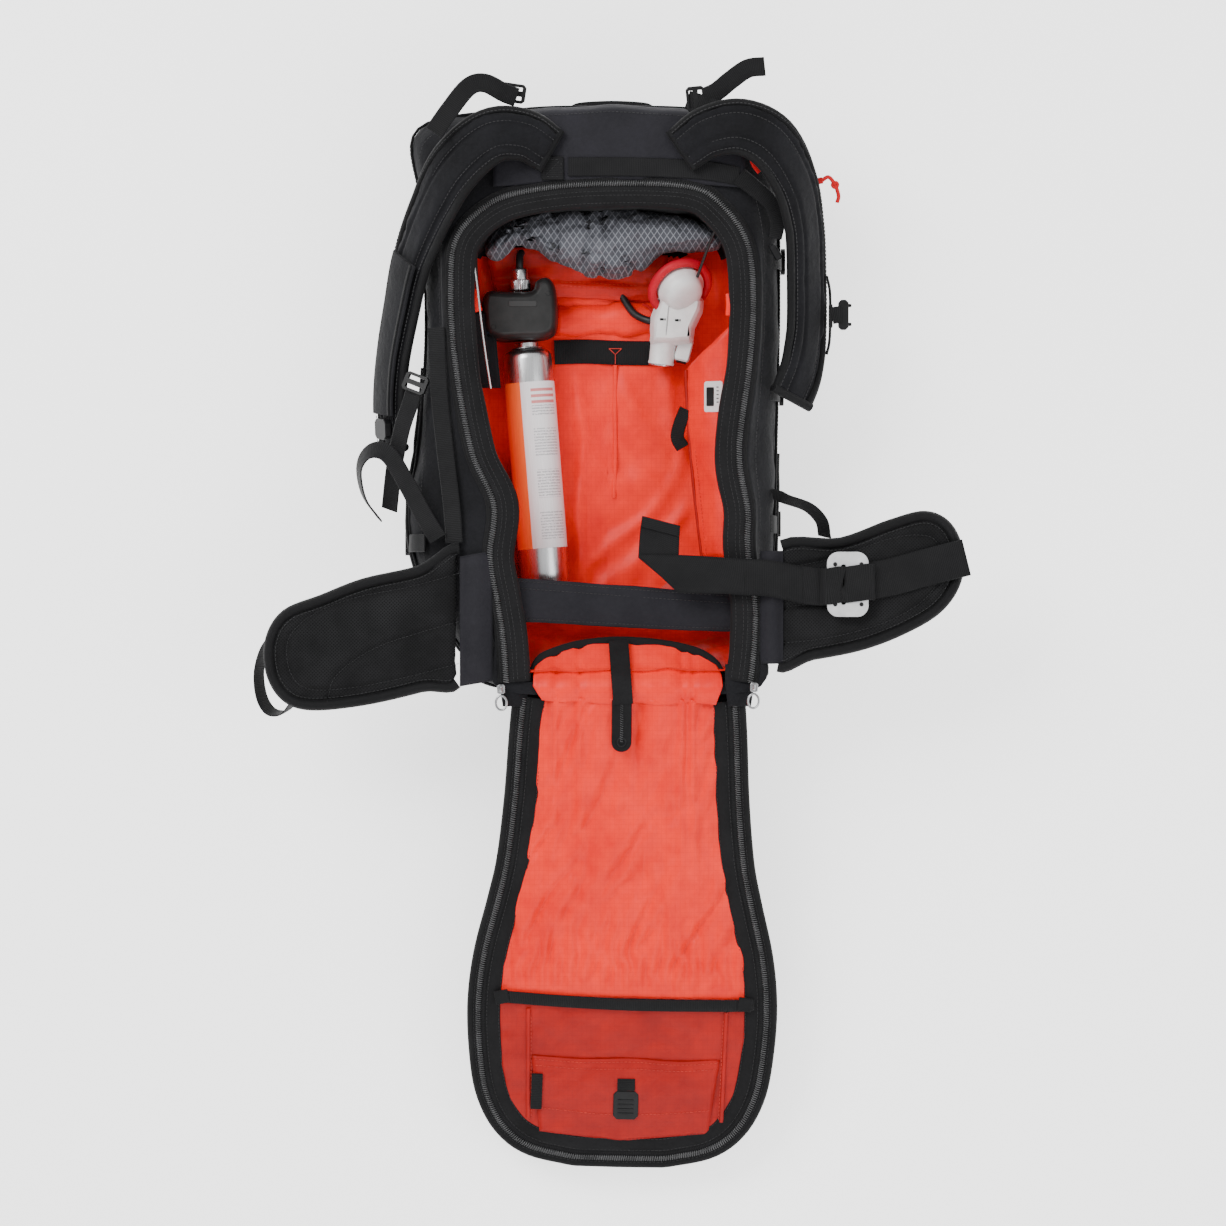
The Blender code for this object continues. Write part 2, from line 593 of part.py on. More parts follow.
def build_straps():
    left_route = [
        (-0.066, 0.262, 0.1745), (-0.092, 0.276, 0.186), (-0.128, 0.274, 0.192), (-0.165, 0.243, 0.183),
        (-0.190, 0.200, 0.163), (-0.211, 0.150, 0.139), (-0.222, 0.100, 0.121), (-0.231, 0.050, 0.108),
        (-0.235, 0.005, 0.099), (-0.234, -0.045, 0.092),
    ]
    left_axis, path, ups = build_shoulder("left", -1, left_route, (0, 5, 10, 25, 42, 52, 57, 60, 60, 60),
                                          STRAP_PIVOT_LEFT, (0.050, 0.058, 0.064, 0.066, 0.064, 0.060, 0.056))
    # The release handle lies in a long pocket on the strap's outer face and pulls out downwards.
    face = path[15:25] + ups[15:25] / np.linalg.norm(ups[15:25], axis=1)[:, None] * 0.0105
    place(band("handle_pocket", face, 0.046, 0.0030, ups[15:25]), "black_fabric", left_axis)
    grip_at = path[26] + ups[26] * 0.0105
    along = path[27] - path[25]
    frame = frame_at(Vector(grip_at), Vector(along), Vector(ups[26]))
    pull = pivot("trigger_handle_axis", Vector(grip_at), frame.to_3x3().to_4x4(), left_axis)
    grip = box("trigger_handle", (-0.013, -0.011, -0.0028), (0.013, 0.011, 0.0045), 0.004)
    place(grip, "collar_rubber", pull, pull.matrix_world)

    right_route = [
        (0.074, 0.262, 0.1745), (0.100, 0.279, 0.186), (0.135, 0.284, 0.192), (0.168, 0.268, 0.186),
        (0.192, 0.230, 0.168), (0.203, 0.185, 0.146), (0.206, 0.130, 0.131), (0.206, 0.075, 0.126),
        (0.201, 0.035, 0.130), (0.190, 0.004, 0.137),
    ]
    right_axis, path, ups = build_shoulder("right", 1, right_route, (0, 5, 10, 25, 42, 50, 50, 48, 40, 30),
                                           STRAP_PIVOT_RIGHT, (0.050, 0.058, 0.064, 0.066, 0.064, 0.060, 0.052))
    spot = Vector((0.2350, 0.092, 0.112))
    slide = pivot("sternum_clip_axis", spot, parent=right_axis)
    clip = box("sternum_clip", (0.2303, 0.0790, 0.1080), (0.2345, 0.1045, 0.1150), 0.001)
    place(clip, "black_plastic", slide)
    swing = pivot("sternum_buckle_axis", Vector((0.2365, 0.092, 0.1120)), parent=slide)
    buckle = box("sternum_buckle", (0.2405, 0.0770, 0.1075), (0.2515, 0.1090, 0.1165), 0.003)
    place(buckle, "black_plastic", swing)
    cord_pivot = pivot("pocket_pull_axis", Vector((0.2200, 0.2330, 0.1380)), parent=right_axis)
    cord = [(0.2215, 0.2330, 0.1385), (0.2290, 0.2370, 0.1380), (0.2360, 0.2290, 0.1340), (0.2400, 0.2180, 0.1290),
            (0.2385, 0.2110, 0.1270)]
    place(tube("pocket_pull_right", spline(cord, 3), 0.0022), "red_cord", cord_pivot)
    return left_axis, right_axis


def build_webbing():
    """Load lifters, lower strap webbing and side compression straps, with their adjusters."""
    z = 0.184
    runs = {
        "load_lifter_left": [(-0.113, 0.321, z - 0.004), (-0.133, 0.330, z + 0.006), (-0.150, 0.325, z + 0.012),
                             (-0.170, 0.300, z + 0.016), (-0.186, 0.277, z + 0.016)],
        "load_lifter_right": [(0.1015, 0.3185, z - 0.009), (0.120, 0.332, z - 0.004),
                              (0.140, 0.345, z - 0.001), (0.158, 0.348, z - 0.002)],
    }
    for name, run in runs.items():
        place(band(name, spline(run, 3), WEB_NARROW, WEB_THIN), "black_webbing")
    for side, spot, along in (("left", (-0.104, 0.322, 0.1700), (0.15, 1, 0)),
                              ("right", (0.088, 0.3155, 0.1700), (1, 0.1, 0))):
        frame = frame_at(spot, along, (0, 0, 1))
        ladder_lock("lifter_buckle_" + side, frame, "black_plastic")

    side_run = [(-0.1850, 0.072, 0.1655), (-0.1820, 0.010, 0.1640), (-0.1760, -0.050, 0.1625),
                (-0.1690, -0.110, 0.1600), (-0.1670, -0.145, 0.1600)]
    place(band("side_strap_left", spline(side_run, 3), 0.019, WEB_THIN, (-0.3, 0, 1)), "black_webbing")
    low = [(-0.2120, 0.000, 0.1480), (-0.2220, -0.030, 0.1430), (-0.2310, -0.070, 0.1280),
           (-0.2370, -0.114, 0.1080)]
    place(band("lower_strap_left", spline(low, 3), WEB_NARROW, WEB_THIN, (-0.5, 0, 1)), "black_webbing")
    loop = [(-0.1830, -0.146, 0.1640), (-0.1990, -0.120, 0.1600), (-0.2180, -0.085, 0.1530),
            (-0.2370, -0.056, 0.1480), (-0.2560, -0.053, 0.1400), (-0.2680, -0.070, 0.1280),
            (-0.2640, -0.100, 0.1120), (-0.2480, -0.124, 0.0980)]
    place(band("strap_tail_left", spline(loop, 3), WEB_THIN, 0.019, (-0.3, 0, 1)), "black_webbing")
    frame = frame_at((-0.2070, 0.0180, 0.1530), (-0.4, -1, 0), (-0.4, 0, 1))
    ladder_lock("strap_buckle_left", frame, "black_plastic")
    loop = [(0.1730, -0.100, 0.128), (0.1860, -0.104, 0.130), (0.2080, -0.112, 0.128), (0.2220, -0.126, 0.122),
            (0.2260, -0.143, 0.114)]
    place(band("lower_strap_right", spline(loop, 3), WEB_THIN, 0.018), "black_webbing")


# ---------------------------------------------------------------- zip sliders at the fold
def build_sliders():
    spots = {"left": (Vector((-0.1165, -0.3040, 0.1712)), (-0.02, 1, 0)),
             "right": (Vector((0.1490, -0.3020, 0.1712)), (0.05, 1, 0))}
    for side, (spot, along) in spots.items():
        frame = frame_at(spot, along, (0, 0, 1))
        slide = pivot("zip_slider_" + side + "_axis", spot, frame.to_3x3().to_4x4())
        body = box("zip_slider_" + side, (-0.0042, -0.0050, -0.0005), (0.0042, 0.0050, 0.0030), 0.0015)
        place(body, "zip_metal", slide, frame)
        ring_at = frame @ Vector((0, -0.0058, 0.0012))
        swing = pivot("zip_puller_" + side + "_axis", ring_at, frame.to_3x3().to_4x4(), slide)
        rows = []
        wide, long, wire = 0.0058, 0.0075, 0.0011
        for k in range(16):
            a = 2 * math.pi * k / 16
            out = Vector((math.cos(a), math.sin(a), 0))
            centre = Vector((wide * out.x, long * out.y - long - wire, 0))
            rows.append([centre + out * wire * math.cos(b) + Vector((0, 0, wire * math.sin(b)))
                         for b in np.arange(6) * math.pi / 3])
        place(loft("zip_puller_" + side, rows, True), "zip_metal", swing, swing.matrix_world)


def main():
    clear_scene()
    build_bag()
    build_top()
    build_lining_details()
    build_airbag()
    build_inflation_head()
    build_cartridge()
    build_panel()
    build_hip_belt()
    build_straps()
    build_webbing()
    build_sliders()


main()
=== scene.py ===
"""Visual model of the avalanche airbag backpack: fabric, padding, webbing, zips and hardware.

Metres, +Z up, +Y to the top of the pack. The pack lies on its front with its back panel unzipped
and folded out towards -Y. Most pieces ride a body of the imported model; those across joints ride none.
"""

import json
import math
import bmesh
import bpy
import numpy as np
from mathutils import Matrix, Vector, noise

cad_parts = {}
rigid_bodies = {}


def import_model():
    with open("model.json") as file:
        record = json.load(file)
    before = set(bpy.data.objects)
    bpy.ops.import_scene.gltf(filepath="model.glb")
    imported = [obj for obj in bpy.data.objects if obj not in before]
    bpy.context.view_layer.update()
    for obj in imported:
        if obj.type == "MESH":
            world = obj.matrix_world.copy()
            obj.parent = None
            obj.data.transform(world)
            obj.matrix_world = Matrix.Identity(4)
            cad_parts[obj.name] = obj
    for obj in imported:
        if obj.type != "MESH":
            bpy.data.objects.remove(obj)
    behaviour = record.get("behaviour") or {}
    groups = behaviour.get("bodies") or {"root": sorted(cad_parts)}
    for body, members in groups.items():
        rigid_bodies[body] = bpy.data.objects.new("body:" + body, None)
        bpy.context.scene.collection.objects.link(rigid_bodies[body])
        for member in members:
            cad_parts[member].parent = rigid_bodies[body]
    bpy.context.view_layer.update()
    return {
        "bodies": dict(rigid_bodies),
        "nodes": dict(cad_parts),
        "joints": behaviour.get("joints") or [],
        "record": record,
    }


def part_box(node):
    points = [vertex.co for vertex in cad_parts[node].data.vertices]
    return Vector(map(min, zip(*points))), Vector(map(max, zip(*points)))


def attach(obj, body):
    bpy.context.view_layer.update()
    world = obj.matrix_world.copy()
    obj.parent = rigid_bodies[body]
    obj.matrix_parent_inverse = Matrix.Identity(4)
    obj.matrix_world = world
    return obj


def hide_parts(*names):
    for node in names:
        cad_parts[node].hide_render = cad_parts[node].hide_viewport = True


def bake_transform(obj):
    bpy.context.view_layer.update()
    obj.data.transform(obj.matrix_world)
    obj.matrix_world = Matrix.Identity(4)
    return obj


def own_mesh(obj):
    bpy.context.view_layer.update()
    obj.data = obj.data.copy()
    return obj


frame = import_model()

# ---------------------------------------------------------------- driving dimensions
FLOOR_Z = 0.0468             # inside of the lining's floor
COIL_Z = 0.1688
PANEL_HINGE = (0.018, -0.3075, 0.1655)
FOLD_START = (0.018, -0.292, 0.162)    # start of the cloth over the fold, and its end
FOLD_END = (0.018, -0.318, 0.16)      # and the panel after this
RIM_MIDDLE_Y = -0.304       # the rim that the fold cloth runs over
RIM_CREST_Z = 0.1706
FOLD_MIDDLE_X = 0.018
PANEL_YAW = -1.2
PANEL_SLOPE = 13.0
PANEL_FACE = -0.0085         # red face, under the fold line
PANEL_LENGTH = 0.527
POCKET_END = 0.334           # where the panel's upper pocket meets its elastic
HIP_LOW = 0.1555
HIP_TOP = 0.1705
CARTRIDGE_TOP = (-0.0915, 0.0585, 0.0745)
CARTRIDGE_TURN = 184.54
CARTRIDGE_RADIUS = 0.026
WEB_THIN = 0.0016
WEB_NARROW = 0.02
WEB_WIDE = 0.039
STITCH_PITCH = 0.0042
COIL_PITCH = 0.0024

ZIP_LINE = [
    (-0.11, -0.297), (-0.113, -0.252), (-0.119, -0.213), (-0.127, -0.165), (-0.123, -0.11),
    (-0.146, -0.054), (-0.163, 0.037), (-0.168, 0.115), (-0.162, 0.17), (-0.126, 0.206),
    (-0.079, 0.22), (-0.008, 0.226), (0.08, 0.223), (0.116, 0.202), (0.141, 0.163),
    (0.147, 0.105), (0.143, 0.037), (0.132, -0.054), (0.141, -0.116), (0.141, -0.155),
    (0.149, -0.215), (0.148, -0.26), (0.144, -0.297), (0.018, -0.299),
]
BODY_LINE = [
    (-0.126, -0.3), (-0.158, -0.262), (-0.188, -0.214), (-0.209, -0.165), (-0.214, -0.11),
    (-0.206, -0.054), (-0.198, 0.037), (-0.197, 0.115), (-0.203, 0.215), (-0.205, 0.29),
    (-0.1, 0.31), (-0.008, 0.313), (0.095, 0.31), (0.158, 0.29), (0.174, 0.22),
    (0.176, 0.115), (0.175, 0.037), (0.173, -0.054), (0.172, -0.11), (0.17, -0.16),
    (0.166, -0.215), (0.16, -0.265), (0.146, -0.299), (0.012, -0.303),
]
SIDE_POINTS = 23             # points of ZIP_LINE that carry the zip: all but the fold's middle
PANEL_SHAPE = [
    (0.0, 0.118), (0.05, 0.122), (0.118, 0.126), (0.186, 0.133), (0.23, 0.142),
    (0.29, 0.156), (0.345, 0.162), (0.4, 0.16), (0.45, 0.152), (0.49, 0.132),
    (0.515, 0.1), (0.527, 0.05),
]


# ---------------------------------------------------------------- curves
def spline(points, steps, closed=False):
    """Catmull-Rom curve through the points, which may be rows of points."""
    pts = np.array(points, float)
    count = len(pts)
    last = count if closed else count - 1
    out = []
    for i in range(last):
        before = pts[(i - 1) % count] if closed or i else 2 * pts[0] - pts[1]
        start = pts[i]
        end = pts[(i + 1) % count]
        after = pts[(i + 2) % count] if closed or i + 2 < count else 2 * pts[-1] - pts[-2]
        for t in np.arange(steps) / steps:
            out.append(
                0.5 * (2 * start + (end - before) * t
                       + (2 * before - 5 * start + 4 * end - after) * t ** 2
                       + (3 * start - before - 3 * end + after) * t ** 3)
            )
    if not closed:
        out.append(pts[-1])
    return np.array(out)


def unit(vectors):
    return vectors / np.maximum(np.linalg.norm(vectors, axis=-1, keepdims=True), 1e-12)


def tangents(points, closed=False):
    pts = np.array(points, float)
    if closed:
        return unit(np.roll(pts, -1, axis=0) - np.roll(pts, 1, axis=0))
    return unit(np.gradient(pts, axis=0))


def offset(points, distance, closed=False):
    """Flat outline moved to its right-hand side, which is inwards for a clockwise outline."""
    pts = np.array(points, float)
    along = tangents(pts, closed)
    return pts + distance * np.stack([along[:, 1], -along[:, 0]], axis=1)


def lift(points, z):
    """Flat outline as points at one height, or at one height each."""
    flat = np.array(points, float)
    return np.column_stack([flat, np.broadcast_to(z, (len(flat),))])


def travelled(points):
    """Distance along the path at each of its points."""
    steps = np.linalg.norm(np.diff(np.array(points, float), axis=0), axis=1)
    return np.concatenate([[0.0], np.cumsum(steps)])


def resample(points, count):
    pts = np.array(points, float)
    run = travelled(pts)
    at = np.linspace(0, run[-1], count)
    return np.stack([np.interp(at, run, pts[:, k]) for k in range(pts.shape[1])], axis=1)


def frame_at(origin, along, up):
    """Matrix whose local Y runs along, and whose local Z is as near to up as it can be."""
    y = Vector(along).normalized()
    x = y.cross(Vector(up)).normalized()
    z = x.cross(y)
    return Matrix.Translation(origin) @ Matrix((x, y, z)).transposed().to_4x4()


def moved(points, matrix):
    """Points or rows of points taken through a matrix."""
    m = np.array(matrix)
    return np.array(points, float) @ m[:3, :3].T + m[:3, 3]


def fractal(x, y, z, size, octaves=3, seed=0.0):
    """Smooth noise, about -1 to 1, with features of the given size."""
    return noise.fractal(Vector((x / size + seed, y / size - seed, z / size)), 1.0, 2.0, octaves)


def crease(x, y, z, size, seed=0.0):
    """Noise with sharp valleys, 0 in a valley and near 1 on a flat."""
    return min(1.0, 3.0 * abs(fractal(x, y, z, size, 2, seed)))


# ---------------------------------------------------------------- meshes
def new_object(name, points, faces, loops=None, angle=40):
    mesh = bpy.data.meshes.new(name)
    mesh.from_pydata(np.asarray(points).tolist(), [], faces)
    if loops is not None:
        layer = mesh.uv_layers.new(name="UVMap")
        layer.data.foreach_set("uv", np.asarray(loops, np.float32).ravel())
    mesh.shade_smooth()
    mesh.set_sharp_from_angle(angle=math.radians(angle))
    obj = bpy.data.objects.new(name, mesh)
    bpy.context.scene.collection.objects.link(obj)
    return obj


def surface(name, rows, wrap=False, caps=False, flip=False, angle=40):
    """Quads over rows of points, with UVs in metres. wrap joins each row's ends."""
    pts = np.array(rows, float)
    n, m = pts.shape[:2]
    index = np.arange(n * m).reshape(n, m)
    right = np.roll(index, -1, axis=1)
    wide = m if wrap else m - 1
    quads = np.stack([index[:-1], right[:-1], right[1:], index[1:]], -1)[:, :wide]
    across = np.linalg.norm(np.roll(pts, -1, axis=1) - pts, axis=2).mean(axis=0)
    u = np.concatenate([[0.0], np.cumsum(across)])
    down = np.linalg.norm(np.diff(pts, axis=0), axis=2).mean(axis=1)
    v = np.concatenate([[0.0], np.cumsum(down)])
    i, j = np.meshgrid(np.arange(n - 1), np.arange(wide), indexing="ij")
    loops = np.stack([
        np.stack([u[j], v[i]], -1), np.stack([u[j + 1], v[i]], -1),
        np.stack([u[j + 1], v[i + 1]], -1), np.stack([u[j], v[i + 1]], -1)], 2)
    quads = quads.reshape(-1, 4)
    loops = loops.reshape(-1, 4, 2)
    if flip:
        quads = quads[:, ::-1]
        loops = loops[:, ::-1]
    faces = quads.tolist()
    loops = loops.reshape(-1, 2)
    if caps:
        ends = [index[0][::-1], index[-1]]
        for k, end in enumerate(ends):
            end = end[::-1] if flip else end
            faces.append(end.tolist())
            middle = pts[0 if k == 0 else -1].mean(axis=0)
            flat = (pts.reshape(-1, 3)[end] - middle)[:, :2]
            loops = np.concatenate([loops, flat])
    made = new_object(name, pts.reshape(-1, 3), faces, loops, angle)
    if caps:
        for face in list(made.data.polygons)[-2:]:
            face.use_smooth = False
    return made


def bake(obj):
    """Replaces the object's mesh by what its modifiers make of it."""
    graph = bpy.context.evaluated_depsgraph_get()
    mesh = bpy.data.meshes.new_from_object(obj.evaluated_get(graph), depsgraph=graph)
    obj.modifiers.clear()
    obj.data = mesh
    return obj


def thicken(obj, thickness, inward=0.0):
    """Gives a sheet its thickness: inward 0 puts half on each side, -1 all behind it."""
    shell = obj.modifiers.new("thickness", "SOLIDIFY")
    shell.thickness = thickness
    shell.offset = inward
    return bake(obj)


def merge(name, objects):
    """One object from several, which are used up."""
    bm = bmesh.new()
    for obj in objects:
        bm.from_mesh(obj.data)
    mesh = bpy.data.meshes.new(name)
    bm.to_mesh(mesh)
    bm.free()
    for obj in objects:
        bpy.data.objects.remove(obj)
    made = bpy.data.objects.new(name, mesh)
    bpy.context.scene.collection.objects.link(made)
    return made


def ruffle(rows, height, wrap=False):
    """Rows moved along their own normals by height(x, y, z)."""
    pts = np.array(rows, float)
    down = np.gradient(pts, axis=0)
    if wrap:
        across = np.roll(pts, -1, axis=1) - np.roll(pts, 1, axis=1)
    else:
        across = np.gradient(pts, axis=1)
    normal = unit(np.cross(across, down))
    amount = np.array([[height(*p) for p in row] for row in pts])
    return pts + normal * amount[..., None]


def sweep(name, path, section, up=(0, 0, 1), closed=False, scale=1.0, angle=40):
    """Solid along a path from a closed section of (sideways, outwards) points."""
    pts = np.array(path, float)
    along = tangents(pts, closed)
    ups = np.broadcast_to(np.array(up, float), pts.shape)
    side = unit(np.cross(along, ups))
    face = np.cross(side, along)
    shape = np.array(section, float)
    if shape.ndim == 2:
        shape = np.broadcast_to(shape, (len(pts),) + shape.shape)
    sizes = np.broadcast_to(scale, (len(pts),))
    rows = [p + sz * (s * sec[:, :1] + f * sec[:, 1:])
            for p, s, f, sec, sz in zip(pts, side, face, shape, sizes)]
    if closed:
        rows.append(rows[0])
    return surface(name, rows, wrap=True, caps=not closed, angle=angle)


def flat_section(width, thick, crown=0.0):
    """Section of a strap with rounded edges, raised by crown in the middle of its face."""
    half = width / 2
    edge = min(0.0009, half * 0.4)
    top = [(s * half, thick / 2 + crown * (1 - s * s)) for s in (-0.6, -0.2, 0.2, 0.6)]
    return ([(-half, 0), (-half + edge, thick / 2)] + top + [(half - edge, thick / 2), (half, 0),
            (half - edge, -thick / 2), (0, -thick / 2), (-half + edge, -thick / 2)])


def strap(name, path, width, thick=WEB_THIN, up=(0, 0, 1), crown=0.0):
    """Flat webbing along a path. width may be one number or one for each point."""
    widths = np.broadcast_to(width, (len(path),))
    return sweep(name, path, [flat_section(w, thick, crown) for w in widths], up)


def round_section(wide, tall, sides=10):
    angles = np.arange(sides) * 2 * math.pi / sides
    return [(wide * math.cos(a), tall * math.sin(a)) for a in angles[::-1]]


def cord_mesh(name, path, radius, up=(0, 0, 1), sides=10, closed=False):
    return sweep(name, path, round_section(radius, radius, sides), up, closed)


def turned(name, profile, frame, segments=32, angle=30):
    """Solid of revolution about the frame's Y from (radius, height) pairs."""
    angles = np.arange(segments) * 2 * math.pi / segments
    rows = [[(r * math.cos(a), h, r * math.sin(a)) for a in angles] for r, h in profile]
    return surface(name, moved(rows, frame), wrap=True, caps=True, angle=angle)


def stitches(name, paths, up=(0, 0, 1), pitch=STITCH_PITCH, length=0.0029, thick=0.00075):
    """Runs of thread along the paths, one small rounded stitch after another."""
    corner = np.array([
        (-0.5, -0.35, 0.0), (-0.5, 0.35, 0.0), (0.5, 0.35, 0.0), (0.5, -0.35, 0.0),
        (-0.3, -0.2, 0.6), (-0.3, 0.2, 0.6), (0.3, 0.2, 0.6), (0.3, -0.2, 0.6)])
    corner = corner * (length, thick, thick)
    sides = [(4, 5, 6, 7), (0, 1, 5, 4), (1, 2, 6, 5), (2, 3, 7, 6), (3, 0, 4, 7)]
    points = []
    faces = []
    for path in paths:
        run = travelled(path)[-1]
        places = resample(path, max(3, int(run / pitch)))
        along = tangents(places)
        side = unit(np.cross(along, np.broadcast_to(np.array(up, float), places.shape)))
        face = np.cross(side, along)
        for p, a, s, f in zip(places[1:-1], along[1:-1], side[1:-1], face[1:-1]):
            base = len(points)
            points.extend(p + corner @ np.stack([a, s, f]))
            faces.extend(tuple(base + k for k in quad) for quad in sides)
    return new_object(name, points, faces)


def coil(name, path, up=(0, 0, 1), half=0.0027, tall=0.0014, wire=0.00062):
    """Zip coil: a flattened spring along a path."""
    pts = np.array(path, float)
    run = travelled(pts)[-1]
    turns = int(run / COIL_PITCH)
    per_turn = 9
    line = resample(pts, turns * per_turn)
    along = tangents(line)
    side = unit(np.cross(along, np.broadcast_to(np.array(up, float), line.shape)))
    face = np.cross(side, along)
    angle = (2 * math.pi * np.arange(len(line)) / per_turn)[:, None]
    out = side * half * np.cos(angle) + face * tall * np.sin(angle)
    wound = line + out
    direction = tangents(wound)
    radial = unit(out)
    across = np.cross(direction, radial)
    rows = [[p + wire * (r * math.cos(b) + a * math.sin(b)) for b in np.arange(5) * 2 * math.pi / 5]
            for p, r, a in zip(wound, radial, across)]
    return surface(name, rows, wrap=True, caps=True, angle=80)


def fold_in(ring, spine, shares):
    """Rings that shrink from an outline to the middle line at the same height."""
    return [ring * (1 - s) + spine * s for s in shares]


def refined(node, bevel, name=None, segments=3):
    """A copy of a CAD node's shape with its edges rounded over."""
    made = bpy.data.objects.new(name or node + "_detailed", frame["nodes"][node].data.copy())
    bpy.context.scene.collection.objects.link(made)
    bm = bmesh.new()
    bm.from_mesh(made.data)
    bmesh.ops.remove_doubles(bm, verts=bm.verts, dist=1e-5)
    bmesh.ops.dissolve_limit(bm, angle_limit=math.radians(2), verts=bm.verts, edges=bm.edges)
    bm.to_mesh(made.data)
    bm.free()
    made.data.materials.clear()
    if "custom_normal" in made.data.attributes:
        made.data.attributes.remove(made.data.attributes["custom_normal"])
    round_over = made.modifiers.new("round_over", "BEVEL")
    round_over.width = bevel
    round_over.segments = segments
    round_over.limit_method = "ANGLE"
    round_over.angle_limit = math.radians(24)
    made.data.shade_smooth()
    round_over.harden_normals = True
    bake(made)
    return made


def puff(obj, voxel, cap, pressure=4.0):
    """Lets cloth fill the piece out by no more than cap, then smooths it."""
    shape = obj.modifiers.new("remesh", "REMESH")
    shape.mode = "VOXEL"
    shape.voxel_size = voxel
    bake(obj)
    count = len(obj.data.vertices)
    start = np.empty(count * 3)
    obj.data.vertices.foreach_get("co", start)
    cloth = obj.modifiers.new("cloth", "CLOTH")
    cloth.settings.use_pressure = True
    cloth.settings.uniform_pressure_force = pressure
    cloth.settings.effector_weights.gravity = 0.0
    cloth.point_cache.frame_start = 1
    cloth.point_cache.frame_end = 20
    for number in range(1, 21):
        bpy.context.scene.frame_set(number)
    bake(obj)
    bpy.context.scene.frame_set(1)
    end = np.empty(count * 3)
    obj.data.vertices.foreach_get("co", end)
    step = (end - start).reshape(-1, 3)
    far = np.linalg.norm(step, axis=1, keepdims=True)
    step *= np.minimum(1.0, cap / np.maximum(far, 1e-9))
    obj.data.vertices.foreach_set("co", (start.reshape(-1, 3) + step).ravel())
    smooth = obj.modifiers.new("smooth", "SUBSURF")
    smooth.levels = 1
    bake(obj)
    obj.data.shade_smooth()
    return obj


def shape_points(obj, change):
    """Moves each vertex by change(x, y, z, normal), which returns a displacement."""
    for vertex in obj.data.vertices:
        vertex.co += change(vertex.co, vertex.normal)
    obj.data.update()
    return obj


def away_from(lines, x, y):
    """Distance from a flat point to the nearest of some polylines, each dense."""
    return min(float(np.min(np.hypot(line[:, 0] - x, line[:, 1] - y))) for line in lines)


# ---------------------------------------------------------------- materials
class Shader:
    """A Principled material, with short calls for the nodes that drive it."""

    def __init__(self, name, roughness, metallic=0.0, sheen=0.0, coat=0.0, specular=0.5):
        self.made = bpy.data.materials.new(name)
        self.made.use_nodes = True
        self.tree = self.made.node_tree
        self.base = self.tree.nodes["Principled BSDF"]
        self.set("Roughness", roughness)
        self.set("Metallic", metallic)
        self.set("Sheen Weight", sheen)
        self.set("Coat Weight", coat)
        self.set("Specular IOR Level", specular)
        self.where = self.add("ShaderNodeTexCoord")
        self.object = self.where.outputs["Object"]
        self.uv = self.where.outputs["UV"]

    def set(self, socket, value):
        self.base.inputs[socket].default_value = value

    def add(self, kind, **settings):
        node = self.tree.nodes.new(kind)
        for key, value in settings.items():
            setattr(node, key, value)
        return node

    def feed(self, target, value):
        if isinstance(value, bpy.types.NodeSocket):
            self.tree.links.new(value, target)
        else:
            target.default_value = value

    def calc(self, operation, first, second=0.0, third=0.0):
        node = self.add("ShaderNodeMath", operation=operation)
        for socket, value in zip(node.inputs, (first, second, third)):
            self.feed(socket, value)
        return node.outputs[0]

    def moved(self, coords, place=(0, 0, 0), turn=(0, 0, 0), size=(1, 1, 1)):
        node = self.add("ShaderNodeMapping")
        self.feed(node.inputs["Vector"], coords)
        node.inputs["Location"].default_value = place
        node.inputs["Rotation"].default_value = turn
        node.inputs["Scale"].default_value = size
        return node.outputs[0]

    def wave(self, coords, axis, pitch):
        """Smooth ridges across one axis, at this pitch in metres."""
        node = self.add("ShaderNodeTexWave", bands_direction=axis)
        self.feed(node.inputs["Vector"], coords)
        node.inputs["Scale"].default_value = 0.3142 / pitch
        return node.outputs["Fac"]

    def noise(self, coords, size, detail=3.0, rough=0.55):
        node = self.add("ShaderNodeTexNoise")
        self.feed(node.inputs["Vector"], coords)
        node.inputs["Scale"].default_value = 1.0 / size
        node.inputs["Detail"].default_value = detail
        node.inputs["Roughness"].default_value = rough
        return node.outputs["Fac"]

    def ramp(self, factor, low, high, start=0.3, end=0.7):
        node = self.add("ShaderNodeValToRGB")
        self.feed(node.inputs["Fac"], factor)
        first, last = node.color_ramp.elements
        first.position, last.position = start, end
        first.color, last.color = (*low, 1.0), (*high, 1.0)
        return node.outputs["Color"]

    def blend(self, factor, first, second, mode="MIX"):
        node = self.add("ShaderNodeMix", data_type="RGBA", blend_type=mode)
        self.feed(node.inputs["Factor"], factor)
        for socket, value in ((node.inputs[6], first), (node.inputs[7], second)):
            if isinstance(value, tuple):
                value = (*value, 1.0)
            self.feed(socket, value)
        return node.outputs[2]

    def colour(self, value):
        self.feed(self.base.inputs["Base Color"], value)

    def rough(self, factor, low, high):
        node = self.add("ShaderNodeMapRange")
        self.feed(node.inputs["Value"], factor)
        node.inputs["To Min"].default_value = low
        node.inputs["To Max"].default_value = high
        self.feed(self.base.inputs["Roughness"], node.outputs[0])

    def bump(self, height, distance, strength=1.0, under=None):
        node = self.add("ShaderNodeBump")
        self.feed(node.inputs["Height"], height)
        node.inputs["Distance"].default_value = distance
        node.inputs["Strength"].default_value = strength
        if under is not None:
            self.feed(node.inputs["Normal"], under)
        self.feed(self.base.inputs["Normal"], node.outputs[0])
        return node.outputs[0]


